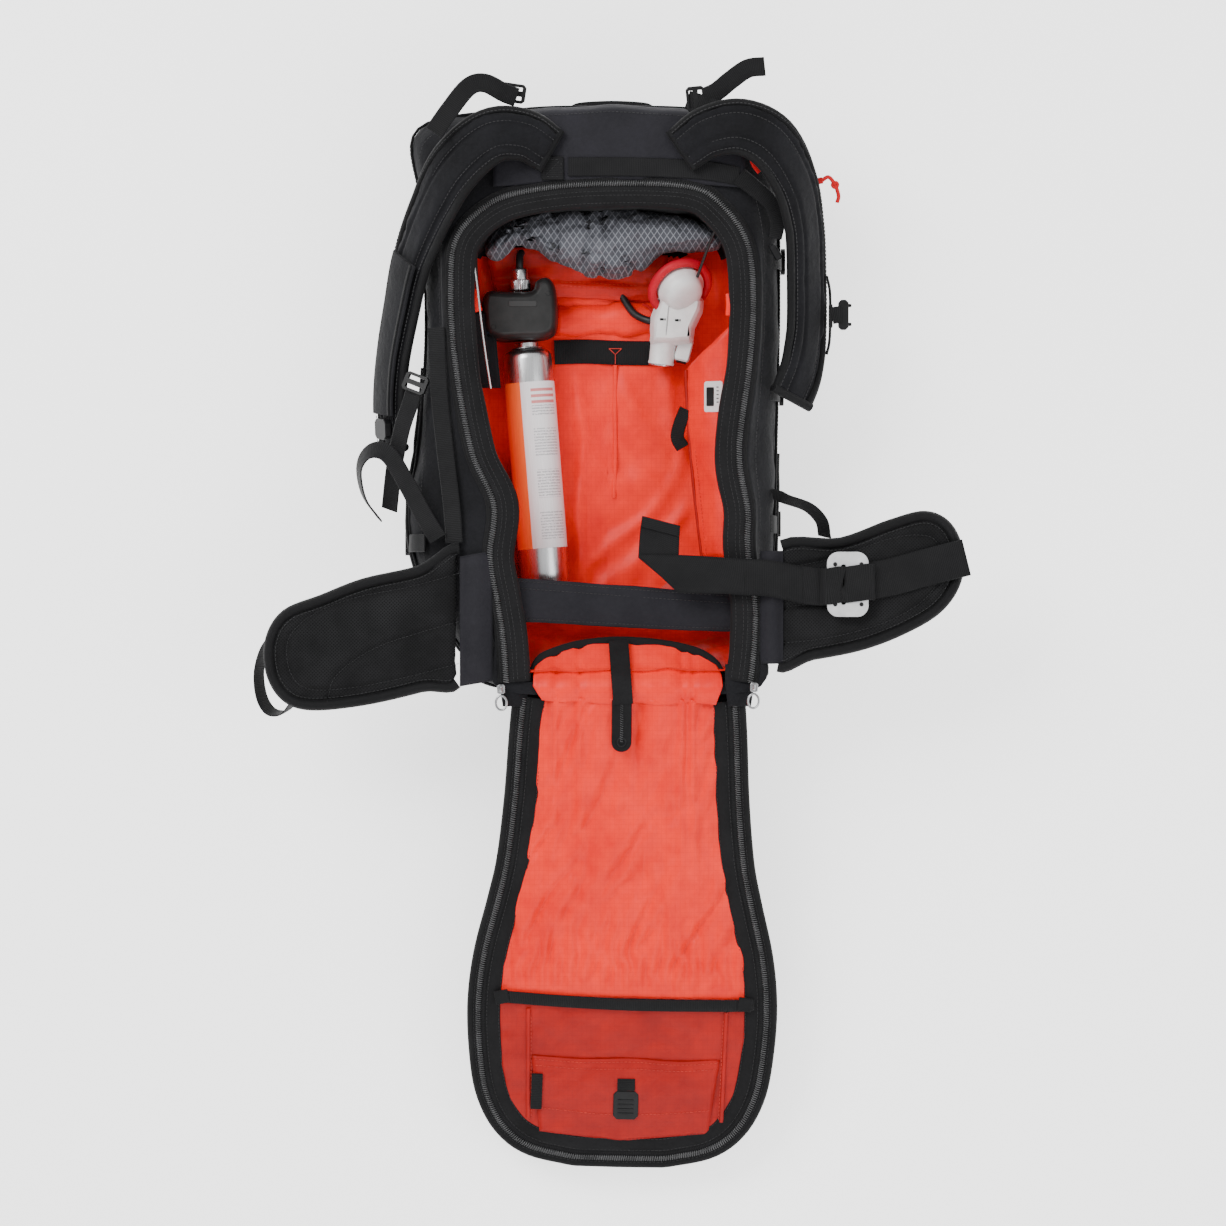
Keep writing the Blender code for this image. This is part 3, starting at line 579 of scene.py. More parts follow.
def woven(name, dark, light, pitch, roughness=0.8, sheen=0.04, crumple=0.0):
    """Plain-weave cloth: crossed yarns with painted highlight on their crossings, worn patches and, where
    asked, fine crumples.
    """
    s = Shader(name, roughness, sheen=sheen, specular=0.12)
    s.set("Sheen Roughness", 0.5)
    patch = s.noise(s.object, 0.055, 4)
    fine = s.noise(s.object, 0.004, 2)
    tone = s.calc("ADD", s.calc("MULTIPLY", patch, 0.75), s.calc("MULTIPLY", fine, 0.25))
    body = s.ramp(tone, dark, light, 0.36, 0.66)
    yarn = s.calc("MULTIPLY", s.wave(s.object, "X", pitch), s.wave(s.object, "Y", pitch))
    # Yarn crossings are blended towards a colour brighter than the cloth: painted highlight on the raised
    # yarns.
    s.colour(s.blend(s.calc("MULTIPLY", yarn, 0.35), body, tuple(min(1.0, 1.7 * c) for c in light)))
    s.rough(patch, roughness - 0.1, roughness + 0.08)
    under = None
    if crumple:
        under = s.bump(s.noise(s.object, 0.024, 5, 0.6), crumple, 1.0)
    s.bump(yarn, pitch * 0.22, 0.6, under)
    return s.made


def webbing(name, dark, light, rib=0.0019):
    """Woven strap: ribs across its length and a finer herringbone within them, with painted highlight on
    their tops and painted shade in the grooves.
    """
    s = Shader(name, 0.62, sheen=0.03, specular=0.14)
    ribs = s.wave(s.uv, "Y", rib)
    yarns = s.wave(s.moved(s.uv, turn=(0, 0, math.radians(38))), "X", rib * 0.8)
    wear = s.noise(s.object, 0.03, 4)
    height = s.calc("ADD", s.calc("MULTIPLY", ribs, 0.7), s.calc("MULTIPLY", yarns, 0.3))
    # Colour follows the rib height: painted highlight on the rib tops and painted shade in the grooves. The
    # wear noise darkens patches at random.
    s.colour(s.blend(s.calc("MULTIPLY", wear, 0.8), s.ramp(height, dark, light, 0.1, 0.9), dark))
    s.rough(wear, 0.52, 0.75)
    s.bump(height, 0.00035, 0.8)
    return s.made


def spacer_mesh(name, dark, light):
    """Padded mesh: rows of small holes in a knitted face, with painted shade darkening the holes."""
    s = Shader(name, 0.85, sheen=0.05, specular=0.12)
    turned_grid = s.moved(s.object, turn=(0, 0, math.radians(45)))
    holes = s.calc("MULTIPLY", s.wave(turned_grid, "X", 0.0026), s.wave(turned_grid, "Y", 0.0026))
    patch = s.noise(s.object, 0.05, 3)
    knit = s.noise(s.object, 0.0011, 2)
    face = s.calc("SUBTRACT", 1.0, s.calc("MULTIPLY", holes, 0.9))
    body = s.ramp(patch, dark, light)
    # The holes are coloured far darker than the knit: painted shade in the holes.
    s.colour(s.blend(holes, body, tuple(0.3 * c for c in dark)))
    height = s.calc("ADD", s.calc("MULTIPLY", face, 0.8), s.calc("MULTIPLY", knit, 0.2))
    s.bump(height, 0.0007, 0.9)
    return s.made


def coated_lining(name, deep, bright, crinkle=0.0012):
    """Thin coated nylon: a faint ripstop grid, soft gloss and many small crinkles."""
    s = Shader(name, 0.45, sheen=0.02, coat=0.03, specular=0.2)
    s.set("Coat Roughness", 0.35)
    s.set("Subsurface Weight", 0.08)
    s.set("Subsurface Radius", (0.004, 0.0015, 0.001))
    broad = s.noise(s.object, 0.09, 4)
    small = s.noise(s.object, 0.016, 5, 0.6)
    tone = s.calc("ADD", s.calc("MULTIPLY", broad, 0.6), s.calc("MULTIPLY", small, 0.4))
    body = s.ramp(tone, deep, bright, 0.36, 0.62)
    grid = s.calc("MAXIMUM", s.wave(s.object, "X", 0.005), s.wave(s.object, "Y", 0.005))
    line = s.calc("GREATER_THAN", grid, 0.985)
    s.colour(s.blend(s.calc("MULTIPLY", line, 0.25), body, tuple(0.75 * c for c in deep)))
    s.rough(small, 0.34, 0.58)
    folds = s.bump(small, crinkle, 0.7)
    s.bump(s.wave(s.object, "X", 0.0011), 0.00006, 0.5, folds)
    return s.made


def diamond_ripstop(name):
    """Grey airbag cloth with a raised pale thread in a diamond grid."""
    s = Shader(name, 0.55, sheen=0.05, specular=0.2)
    lines = None
    for side in (35, -35):
        across = s.moved(s.object, turn=(0, 0, math.radians(side)))
        ridge = s.wave(across, "X", 0.0056)
        lines = ridge if lines is None else s.calc("MAXIMUM", lines, ridge)
    patch = s.noise(s.object, 0.05, 4)
    thread = s.ramp(lines, (0, 0, 0), (1, 1, 1), 0.9, 0.985)
    body = s.ramp(patch, (0.046, 0.048, 0.058), (0.092, 0.095, 0.11))
    s.colour(s.blend(thread, body, (0.205, 0.21, 0.235)))
    folds = s.bump(s.noise(s.object, 0.02, 5, 0.6), 0.0014, 0.8)
    s.bump(thread, 0.0003, 0.7, folds)
    return s.made


def moulded(name, dark, light, roughness=0.4, grain=0.0009, depth=0.00006, coat=0.0, specular=0.5):
    """Moulded plastic or rubber: fine texture, handling marks and uneven gloss."""
    s = Shader(name, roughness, coat=coat, specular=specular)
    spark = s.noise(s.object, grain, 2)
    marks = s.noise(s.object, 0.02, 5, 0.65)
    s.colour(s.ramp(marks, dark, light, 0.35, 0.7))
    s.rough(marks, roughness - 0.08, roughness + 0.12)
    s.bump(spark, depth, 0.7)
    return s.made


def brushed(name, dark, light, roughness=0.3, along=(1, 1, 1)):
    """Metal with fine scratches in one direction."""
    s = Shader(name, roughness, metallic=1.0)
    s.set("Anisotropic", 0.4)
    lines = s.noise(s.moved(s.object, size=along), 0.0012, 4, 0.7)
    cloud = s.noise(s.object, 0.03, 3)
    s.colour(s.ramp(s.calc("MULTIPLY_ADD", lines, 0.6, s.calc("MULTIPLY", cloud, 0.4)),
                    dark, light, 0.3, 0.7))
    s.rough(lines, roughness - 0.07, roughness + 0.13)
    s.bump(lines, 0.00003, 0.6)
    return s.made


def cartridge_paper(name):
    """Printed sleeve: an orange third, white for the rest, with plain bars for its print."""
    s = Shader(name, 0.42, coat=0.2)
    parts = s.add("ShaderNodeSeparateXYZ")
    s.feed(parts.inputs[0], s.uv)
    u, v = parts.outputs[0], parts.outputs[1]
    orange = s.calc("LESS_THAN", u, LABEL_SPLIT)
    margin = s.calc("MULTIPLY", s.calc("GREATER_THAN", u, LABEL_SPLIT + 0.011),
                    s.calc("LESS_THAN", u, LABEL_SPLIT + 0.041))
    row = s.calc("GREATER_THAN", s.wave(s.uv, "Y", 0.0031), 0.45)
    worn = s.noise(s.moved(s.uv, size=(1.0, 0.03, 1.0)), 0.0012, 2)
    broken = s.calc("GREATER_THAN", s.noise(s.moved(s.uv, size=(1.0, 1.9, 1.0)), 0.0022, 1), 0.43)
    blocks = s.calc("GREATER_THAN", s.wave(s.uv, "Y", 0.044), 0.22)
    bars = s.calc("MULTIPLY", s.calc("MULTIPLY", row, broken), s.calc("MULTIPLY", margin, blocks))
    head = s.calc("MULTIPLY", s.calc("LESS_THAN", v, 0.026), s.calc("GREATER_THAN", v, 0.006))
    big = s.calc("MULTIPLY", s.calc("GREATER_THAN", s.wave(s.uv, "Y", 0.0064), 0.5),
                 s.calc("MULTIPLY", head, margin))
    paper = s.ramp(worn, (0.76, 0.76, 0.77), (0.86, 0.86, 0.87))
    inked = s.blend(s.calc("MULTIPLY", bars, 0.62), paper, (0.23, 0.23, 0.26))
    inked = s.blend(s.calc("MULTIPLY", head, 1.0), inked, paper)
    inked = s.blend(s.calc("MULTIPLY", big, 0.8), inked, (0.62, 0.07, 0.06))
    s.colour(s.blend(orange, inked, s.ramp(worn, (0.92, 0.135, 0.022), (1.0, 0.175, 0.034))))
    s.bump(s.noise(s.object, 0.012, 3), 0.00012, 0.6)
    return s.made


LABEL_SPLIT = 0.0316

BLACK_FABRIC = woven("black_pack_cloth", (0.0042, 0.0042, 0.005), (0.0105, 0.0105, 0.0125), 0.0013,
                     crumple=0.0024)
BLUISH_FABRIC = woven("smooth_black_cloth", (0.0095, 0.0092, 0.012), (0.017, 0.0163, 0.0205), 0.001, 0.62,
                      crumple=0.0013)
RIM_CLOTH = woven("rim_cloth", (0.0045, 0.0044, 0.0048), (0.01, 0.0098, 0.0106), 0.0012, 0.72,
                  crumple=0.001)
PAD_MESH = spacer_mesh("padded_mesh", (0.007, 0.007, 0.0074), (0.0165, 0.0165, 0.0175))
RED_LINING = coated_lining("red_lining", (0.78, 0.007, 0.003), (1.0, 0.024, 0.008))
DEEP_LINING = coated_lining("deep_red_lining", (0.27, 0.003, 0.002), (0.42, 0.007, 0.004), 0.001)
SHADE_LINING = coated_lining("shaded_lining", (0.36, 0.005, 0.003), (0.6, 0.012, 0.006), 0.0014)
WEBBING = webbing("black_webbing", (0.0032, 0.0032, 0.0036), (0.016, 0.016, 0.017))
BINDING = webbing("edge_binding", (0.004, 0.004, 0.0044), (0.012, 0.012, 0.013), 0.0012)
RED_WEB = webbing("red_webbing", (0.46, 0.006, 0.01), (0.8, 0.02, 0.022), 0.0012)
THREAD = moulded("dark_thread", (0.016, 0.016, 0.017), (0.034, 0.034, 0.036), 0.8)
RED_THREAD = moulded("red_thread", (0.42, 0.018, 0.012), (0.7, 0.04, 0.02), 0.7)
# The coil is a lighter grey than the black cloth: painted highlight standing in for the glints along the
# coil.
COIL = moulded("zip_coil", (0.03, 0.03, 0.031), (0.085, 0.085, 0.088), 0.26, coat=0.3)
ZIP_METAL = brushed("zip_metal", (0.28, 0.28, 0.29), (0.52, 0.52, 0.53), 0.25)
AIRBAG = diamond_ripstop("airbag_ripstop")
COLLAR = moulded("collar_rubber", (0.42, 0.001, 0.013), (0.58, 0.003, 0.024), 0.5, 0.0012, 0.0001,
                 specular=0.25)
WHITE_PLASTIC = moulded("ejector_plastic", (0.66, 0.66, 0.65), (0.8, 0.8, 0.79), 0.38)
BLACK_PLASTIC = moulded("black_plastic", (0.005, 0.005, 0.0054), (0.012, 0.012, 0.013), 0.36, specular=0.2)
HEAD_PLASTIC = moulded("head_plastic", (0.01, 0.01, 0.01), (0.02, 0.02, 0.02), 0.38, specular=0.3)
ALUMINIUM = brushed("cartridge_metal", (0.52, 0.53, 0.54), (0.74, 0.75, 0.76), 0.26, (1.0, 0.02, 1.0))
STEEL = brushed("steel", (0.42, 0.42, 0.43), (0.72, 0.72, 0.73), 0.24)
PALE_PLATE = moulded("pale_buckle_plate", (0.5, 0.5, 0.51), (0.68, 0.68, 0.69), 0.4)
LABEL = cartridge_paper("cartridge_sleeve")
HOSE = moulded("hose_rubber", (0.005, 0.005, 0.0054), (0.013, 0.013, 0.014), 0.5)
BLUE_TAB = moulded("blue_tab", (0.01, 0.16, 0.5), (0.02, 0.27, 0.72), 0.45)
PATCH_WHITE = woven("patch_white", (0.6, 0.6, 0.6), (0.8, 0.8, 0.8), 0.0008)


def piece(obj, material, slot, body, *replaced):
    """Gives a finished shape its material and the body that it moves with."""
    obj.data.materials.clear()
    obj.data.materials.append(material)
    if body:
        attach(obj, body)
    if replaced:
        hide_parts(*replaced)
    return obj


def hinged(obj, material, slot, bodies, start, end, *replaced):
    """A finished fabric shape that crosses the joint between two bodies."""
    piece(obj, material, slot, None, *replaced)
    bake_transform(obj)
    return obj


# ---------------------------------------------------------------- the bag
def zip_run(inset=0.0, z=COIL_Z, steps=8):
    """The side and top run of the opening's zip line, moved inwards."""
    return lift(offset(spline(ZIP_LINE[:SIDE_POINTS], steps), inset), z)


def body_ring(share, inset, z, steps=7):
    """A ring of the bag, between the zip line (0) and the widest outline (1)."""
    rim = spline(ZIP_LINE, steps, True)
    body = spline(BODY_LINE, steps, True)
    return lift(offset(rim * (1 - share) + body * share, inset, True), z)


def spine_of(ring, low_y, high_y):
    """For each point of a ring, the nearest point of the middle line."""
    middle = 0.5 * (ring[:, 0].min() + ring[:, 0].max())
    out = ring.copy()
    out[:, 0] = middle
    out[:, 1] = np.clip(ring[:, 1], low_y, high_y)
    return out


def build_shell():
    rings = [body_ring(0.0, 0.004, 0.164), body_ring(0.0, -0.009, 0.165), body_ring(0.45, 0.0, 0.1535),
             body_ring(0.85, 0.0, 0.134), body_ring(1.0, 0.0, 0.112), body_ring(1.0, -0.002, 0.088),
             body_ring(1.0, 0.0, 0.066), body_ring(1.0, 0.007, 0.05), body_ring(1.0, 0.022, 0.0385),
             body_ring(1.0, 0.06, 0.0368)]

    def slack(x, y, z):
        loose = min(1.0, max(0.0, (0.163 - z) / 0.05))
        folds = 0.003 * fractal(x, y, z * 0.7, 0.06, 4, 3.0)
        pull = 0.0022 * (crease(x, y, z, 0.085, 9.0) - 0.7)
        return loose * (folds + pull) + 0.0004 * fractal(x, y, z, 0.03, 2, 5.0)

    rows = ruffle(spline(rings, 5), slack, True)
    piece(surface("bag_body", rows, wrap=True), BLACK_FABRIC, "black_fabric", "pack", "main_shell")

    pocket = [body_ring(1.0, 0.024, 0.0378), body_ring(1.0, 0.0205, 0.03), body_ring(1.0, 0.021, 0.016),
              body_ring(1.0, 0.029, 0.0055), body_ring(1.0, 0.046, 0.0016)]
    ring = body_ring(1.0, 0.05, 0.0012)
    rings = list(spline(pocket, 4)) + fold_in(ring, spine_of(ring, -0.19, 0.19),
                                              (0.0, 0.2, 0.4, 0.6, 0.8, 1.0))

    def sag(x, y, z):
        return 0.002 * fractal(x, y, z, 0.05, 3, 11.0) * min(1.0, max(0.0, (z - 0.003) / 0.012))

    rows = ruffle(rings, sag, True)
    piece(surface("front_pocket_cloth", rows, wrap=True), BLUISH_FABRIC, "black_fabric", "pack",
          "front_pocket")

    seams = [body_ring(1.0, -0.0012, 0.112), body_ring(1.0, 0.0065, 0.05)]
    cords = [cord_mesh("piping", ring, 0.0016, closed=True) for ring in seams]
    piece(merge("body_piping", cords), BINDING, "black_webbing", "pack")
    threads = []
    for share, inset, z in ((0.45, -0.001, 0.1545), (0.85, -0.002, 0.1353), (1.0, -0.003, 0.107)):
        threads.append(body_ring(share, inset, z))
    piece(stitches("body_stitching", threads, (0, 0, 1)), THREAD, "black_fabric", "pack")

    front_zip = [(-0.105, 0.15, 0.0012), (-0.12, 0.06, 0.0012), (-0.118, -0.08, 0.0012),
                 (-0.08, -0.19, 0.0012), (0.02, -0.222, 0.0012)]
    run = spline(front_zip, 12)
    tape = strap("front_pocket_zip_tape", run, 0.022, 0.001, (0, 0, -1))
    piece(tape, WEBBING, "black_webbing", "pack")
    piece(coil("front_pocket_zip", run + (0, 0, -0.0002), (0, 0, -1), 0.0024, 0.0007, 0.0005),
          COIL, "zip_coil", "pack")
    ladder = [strap("rung", [(x, -0.17, 0.0006), (x, 0.17, 0.0006)], 0.022, 0.0012, (0, 0, -1))
              for x in (0.035,)]
    piece(merge("front_daisy_webbing", ladder), WEBBING, "black_webbing", "pack")


def side_wall(outline_slice, inset, levels):
    """Rows of points that follow part of the bag's side at some heights."""
    ring = body_ring(1.0, inset, 0.0)
    first, last = outline_slice
    return [np.column_stack([ring[first * 7:last * 7 + 1, :2], np.full(last * 7 + 1 - first * 7, z)])
            for z in levels]


def build_side_details():
    """Stretch pockets, compression straps and the loops on the bag's sides, top and foot."""
    for side, part in (("left", (1, 6)), ("right", (17, 22))):
        levels = (0.048, 0.056, 0.07, 0.085, 0.098)
        rows = side_wall(part, -0.0042, levels)
        middle = len(rows[0]) // 2
        for k, row in enumerate(rows):
            sway = np.abs(np.arange(len(row)) - middle) / middle
            row[:, 2] += k / 4 * 0.01 * (1 - sway)
        rows = ruffle(rows, lambda x, y, z: 0.0012 * fractal(x, y, z, 0.03, 3, 21.0))
        pocket = thicken(surface("side_pocket_" + side, rows), 0.0014)
        piece(pocket, PAD_MESH, "mesh_fabric", "pack")
        hem = sweep("side_pocket_hem_" + side, rows[-1], round_section(0.0022, 0.0036), (0, 0, 1))
        piece(hem, BINDING, "black_webbing", "pack")

    straps = []
    buckles = []
    for x_sign, at_y in ((-1, 0.165), (-1, -0.15), (1, 0.15), (1, 0.01), (1, -0.13)):
        ring = body_ring(1.0, -0.0035, 0.0)
        chosen = ring[np.sign(ring[:, 0]) == x_sign]
        x = float(chosen[np.argmin(np.abs(chosen[:, 1] - at_y)), 0])
        run = [(x - x_sign * 0.018, at_y, 0.144), (x - x_sign * 0.004, at_y, 0.127), (x, at_y, 0.108),
               (x + x_sign * 0.001, at_y + 0.001, 0.08), (x - x_sign * 0.001, at_y + 0.002, 0.056),
               (x - x_sign * 0.016, at_y + 0.002, 0.0415)]
        straps.append(strap("compression", spline(run, 4), 0.019, WEB_THIN, (x_sign, 0, 0.05)))
        lock = refined("lifter_buckle_left", 0.0006, "lock")
        centre = sum(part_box("lifter_buckle_left"), Vector()) / 2
        home = frame_at(centre, (0.15, 1, 0), (0, 0, 1))
        goal = frame_at((x + x_sign * 0.003, at_y + 0.001, 0.09), (0, 0, 1), (x_sign, 0, 0))
        lock.data.transform(goal @ home.inverted())
        buckles.append(lock)
    piece(merge("compression_straps", straps), WEBBING, "black_webbing", "pack")
    piece(merge("compression_buckles", buckles), BLACK_PLASTIC, "black_plastic", "pack")

    loop = [(-0.04, 0.314, 0.046), (-0.034, 0.3185, 0.044), (0.0, 0.3205, 0.043), (0.034, 0.3185, 0.044),
            (0.04, 0.314, 0.046)]
    haul = strap("top_grab_loop", spline(loop, 6), 0.018, 0.0024, (0, 0.2, 1))
    piece(haul, WEBBING, "black_webbing", "pack")
    tools = []
    for x in (-0.075, 0.075):
        foot = [(x - 0.01, -0.3, 0.06), (x - 0.009, -0.312, 0.052), (x, -0.317, 0.048),
                (x + 0.009, -0.312, 0.052), (x + 0.01, -0.3, 0.06)]
        tools.append(strap("loop", spline(foot, 5), 0.015, 0.0018, (0, 0, 1)))
    piece(merge("tool_loops", tools), WEBBING, "black_webbing", "pack")
    top_zip = lift(np.array([(-0.15, 0.303), (-0.08, 0.314), (0.0, 0.316), (0.08, 0.314), (0.13, 0.302)]),
                   0.075)
    run = spline(top_zip, 10)
    piece(strap("top_zip_tape", run, 0.018, 0.0012, (0, 1, 0)), WEBBING, "black_webbing", "pack")
    piece(coil("top_zip_coil", run + (0, 0.0012, 0), (0, 1, 0)), COIL, "zip_coil", "pack")


def build_border():
    """Black cloth around the opening, its zip tape, its half of the coil and its stitching."""
    section = [(-0.0095, 0.1652), (-0.0045, 0.1668), (0.003, 0.1673), (0.011, 0.167), (0.018, 0.1661),
               (0.0222, 0.1645), (0.0236, 0.1615), (0.023, 0.157), (0.0214, 0.1535)]
    rows = [zip_run(inset, z) for inset, z in section]
    for k, row in enumerate(rows):
        limp = max(0, k - 3) / 5
        for p in row:
            p[2] += 0.0016 * limp * fractal(*p, 0.045, 3, 31.0)
            p[0] += 0.003 * limp * fractal(*p, 0.06, 2, 35.0)
            p[1] += 0.002 * limp * fractal(*p, 0.06, 2, 39.0)
    cloth = thicken(surface("opening_border", rows), 0.0012)
    piece(cloth, RIM_CLOTH, "black_fabric", "pack", "rim_border")
    tape = strap("body_zip_tape", zip_run(0.0, 0.1677), 0.015, 0.0007)
    piece(tape, WEBBING, "black_webbing", "pack")
    piece(coil("body_zip_coil", zip_run(-0.0012, 0.169, 12)), COIL, "zip_coil", "pack", "body_zip_chain")
    threads = [zip_run(-0.006, 0.1676), zip_run(0.0068, 0.1679), zip_run(0.0112, 0.1676),
               zip_run(0.0192, 0.1664)]
    piece(stitches("border_stitching", threads), THREAD, "black_fabric", "pack")


# ---------------------------------------------------------------- the lined cavity
FOLD_LINES = [
    ((-0.045, -0.19), (0.0, -0.15), (0.045, -0.115), (0.072, -0.07), (0.08, -0.035)),
    ((-0.01, -0.195), (0.05, -0.15), (0.078, -0.115)),
    ((-0.038, 0.03), (-0.03, -0.04), (-0.036, -0.12), (-0.03, -0.19)),
    ((0.012, 0.02), (0.03, -0.02), (0.06, -0.06)),
    ((0.058, 0.03), (0.066, -0.02), (0.082, -0.06)),
    ((-0.02, -0.06), (0.01, -0.085), (0.05, -0.08)),
]


def build_lining():
    """Thin red cloth: creased walls, a rounded foot and a floor with long folds."""
    wall = [body_ring(0.0, 0.0125, 0.164), body_ring(0.0, 0.0155, 0.145), body_ring(0.0, 0.0165, 0.115),
            body_ring(0.0, 0.0165, 0.085), body_ring(0.0, 0.017, 0.064)]
    base = body_ring(0.0, 0.017, 0.048)
    spine = spine_of(base, -0.2, 0.12)
    foot = fold_in(base, spine, (0.05,))
    foot[0][:, 2] = 0.052
    floor = fold_in(base, spine, np.linspace(0.12, 1.0, 24))
    for ring in floor:
        ring[:, 2] = FLOOR_Z + 0.001
    rows = list(spline(wall + foot, 4)) + floor
    lines = [resample(line, 60) for line in FOLD_LINES]

    def slack(x, y, z):
        on_floor = min(1.0, max(0.0, (0.075 - z) / 0.02))
        ridge = math.exp(-(away_from(lines, x, y) / 0.006) ** 2) * on_floor
        broad = 0.5 + 0.5 * fractal(x, y, z * 0.5, 0.075, 3, 41.0)
        sharp = 1.0 - crease(x, y, z * 0.5, 0.07, 47.0)
        return 0.005 * ridge + 0.0045 * broad + 0.0035 * sharp + 0.0006 * fractal(x, y, z, 0.012, 2, 44.0)

    rows = ruffle(rows, lambda x, y, z: -slack(x, y, z), True)
    cloth = surface("cavity_lining", rows, wrap=True, angle=75)
    piece(cloth, RED_LINING, "red_lining", "pack", "inner_lining")
    cloth.data.materials.append(BLACK_FABRIC)
    for face in cloth.data.polygons:
        face.material_index = int(face.center.y > 0.158 and face.center.z > 0.052)


def cloth_patch(name, rows, steps, height, material, slot, body="pack", thickness=0.0012):
    """A small sheet of cloth over a coarse grid of points, wrinkled by height."""
    fine = spline(np.swapaxes(spline(rows, steps), 0, 1), steps)
    return piece(thicken(surface(name, ruffle(fine, height), angle=70), thickness), material, slot, body)


def build_cavity_details():
    """The folds, seams, bands and patches sewn inside the cavity."""
    def small(x, y, z):
        return 0.0022 * fractal(x, y, z, 0.022, 4, 51.0) + 0.0014 * (crease(x, y, z, 0.03, 53.0) - 0.6)

    roll = []
    for x in np.linspace(-0.062, 0.088, 20):
        sag = 0.004 * math.sin(9 * x) - 0.1 * x * x
        centre = np.array([x, 0.093 + sag, 0.0505])
        angles = np.arange(15) / 14 * math.pi
        swell = 1.0 + 0.1 * math.sin(60 * x) + 0.06 * math.sin(131 * x)
        roll.append([centre + (0, -0.0165 * swell * math.cos(a),
                               0.0105 * swell * math.sin(a)) for a in angles])
    roll = ruffle(np.array(roll), small)
    piece(thicken(surface("lining_roll", roll, angle=75), 0.0012), RED_LINING, "red_lining", "pack")
    top_rows = [[(-0.125, 0.118, 0.06), (-0.07, 0.116, 0.058), (0.0, 0.113, 0.056), (0.06, 0.11, 0.057)],
                [(-0.128, 0.128, 0.066), (-0.07, 0.127, 0.064), (0.0, 0.125, 0.062), (0.06, 0.122, 0.06)],
                [(-0.13, 0.136, 0.063), (-0.07, 0.137, 0.062), (0.0, 0.134, 0.061), (0.06, 0.13, 0.062)],
                [(-0.132, 0.15, 0.07), (-0.07, 0.151, 0.068), (0.0, 0.148, 0.066), (0.06, 0.14, 0.066)],
                [(-0.132, 0.168, 0.072), (-0.07, 0.168, 0.07), (0.0, 0.165, 0.07), (0.06, 0.16, 0.068)]]
    cloth_patch("lining_top_fold", top_rows, 8, small, SHADE_LINING, "red_lining")
    seam = spline([(-0.058, 0.1315, 0.0672), (-0.02, 0.13, 0.066), (0.03, 0.1275, 0.065)], 14)
    piece(stitches("lining_top_seam", [seam, seam + (0, -0.004, 0.0002)]), RED_THREAD, "red_lining", "pack")

    band = spline([(-0.062, 0.0565, 0.056), (-0.03, 0.0575, 0.0545), (0.01, 0.056, 0.055),
                   (0.047, 0.0555, 0.056)], 10)
    elastic = strap("cavity_elastic", band, 0.0262, 0.0018, crown=0.0008)
    piece(elastic, WEBBING, "black_webbing", "pack", "cartridge_band")
    left, right, apex, foot = [(x, y, 0.0575) for x, y in ((-0.0033, 0.0605), (0.0103, 0.0605),
                                                           (0.0035, 0.0542),
                                                           (0.0035, 0.044))]
    tack = [strap("tack", ends, 0.001, 0.0012) for ends in ((left, right), (left, apex), (right, apex),
                                                            (apex, foot))]
    piece(merge("elastic_bar_tack", tack), RED_THREAD, "red_cord", "pack")
    welt = spline([(0.0035, 0.043, 0.0545), (0.003, 0.0, 0.0545), (0.0035, -0.05, 0.0545),
                   (0.002, -0.1, 0.054)], 10)
    piece(strap("floor_welt", welt, 0.005, 0.0024, crown=0.0008), RED_LINING, "red_lining", "pack")
    hooks = [cord_mesh("hook", spline([(0.033, 0.108, 0.0655), (0.04, 0.104, 0.0665), (0.044, 0.096, 0.066),
                                       (0.039, 0.092, 0.0655)], 4), 0.0016)]
    piece(merge("lining_cord_tab", hooks), RED_WEB, "red_cord", "pack")

    edge = spline([(0.079, 0.036, 0.085), (0.08, 0.01, 0.0845), (0.084, -0.05, 0.084),
                   (0.09, -0.11, 0.084), (0.0965, -0.165, 0.083)], 8)
    wall = spline([(0.129, 0.085, 0.118), (0.124, 0.01, 0.116), (0.118, -0.06, 0.115),
                   (0.124, -0.115, 0.115), (0.126, -0.165, 0.115)], 8)
    rows = [edge * (1 - t) + wall * t + (0, 0, 0.009 * math.sin(math.pi * t)) for t in np.linspace(0, 1,
            14)]

    def pocket_slack(x, y, z):
        return 0.003 * fractal(x, y * 0.6, z, 0.035, 4, 57.0)

    sheet = surface("side_wall_pocket", ruffle(rows, pocket_slack), angle=70)
    piece(thicken(sheet, 0.0012), RED_LINING, "red_lining", "pack", "lining_side_pocket")
    piece(cord_mesh("side_wall_piping", edge + (0, 0, 0.0012), 0.0022), DEEP_LINING, "red_lining", "pack")
    piece(stitches("side_wall_stitching", [rows[2] + (0, 0, 0.0016)], (-0.5, 0, 0.8)), RED_THREAD,
          "red_lining", "pack")

    tilt = frame_at((0.108, 0.006, 0.1145), (0, 1, 0), (-0.5, 0, 0.86))
    card = rounded_plate("care_patch", 0.0225, 0.033, 0.0012, 0.003, tilt)
    piece(card, PATCH_WHITE, "label_paper", "pack")
    window = rounded_plate("care_patch_window", 0.009, 0.02, 0.0008, 0.001,
                           tilt @ Matrix.Translation((-0.0035, 0.0, 0.0012)))
    piece(window, BLACK_PLASTIC, "black_plastic", "pack")
    ticks = [rounded_plate("tick", 0.0026, 0.001, 0.0006, 0.0003,
                           tilt @ Matrix.Translation((0.0055, 0.01 - 0.004 * k, 0.0012))) for k in range(5)]
    piece(merge("care_patch_ticks", ticks), BLACK_PLASTIC, "black_plastic", "pack")
    tab = [(0.079, -0.006, 0.0875), (0.0725, -0.022, 0.083), (0.07, -0.036, 0.079), (0.076, -0.047, 0.0775)]
    piece(strap("cavity_side_tab", spline(tab, 6), 0.015, 0.0016, (-0.3, 0.1, 1)), WEBBING,
          "black_webbing", "pack")

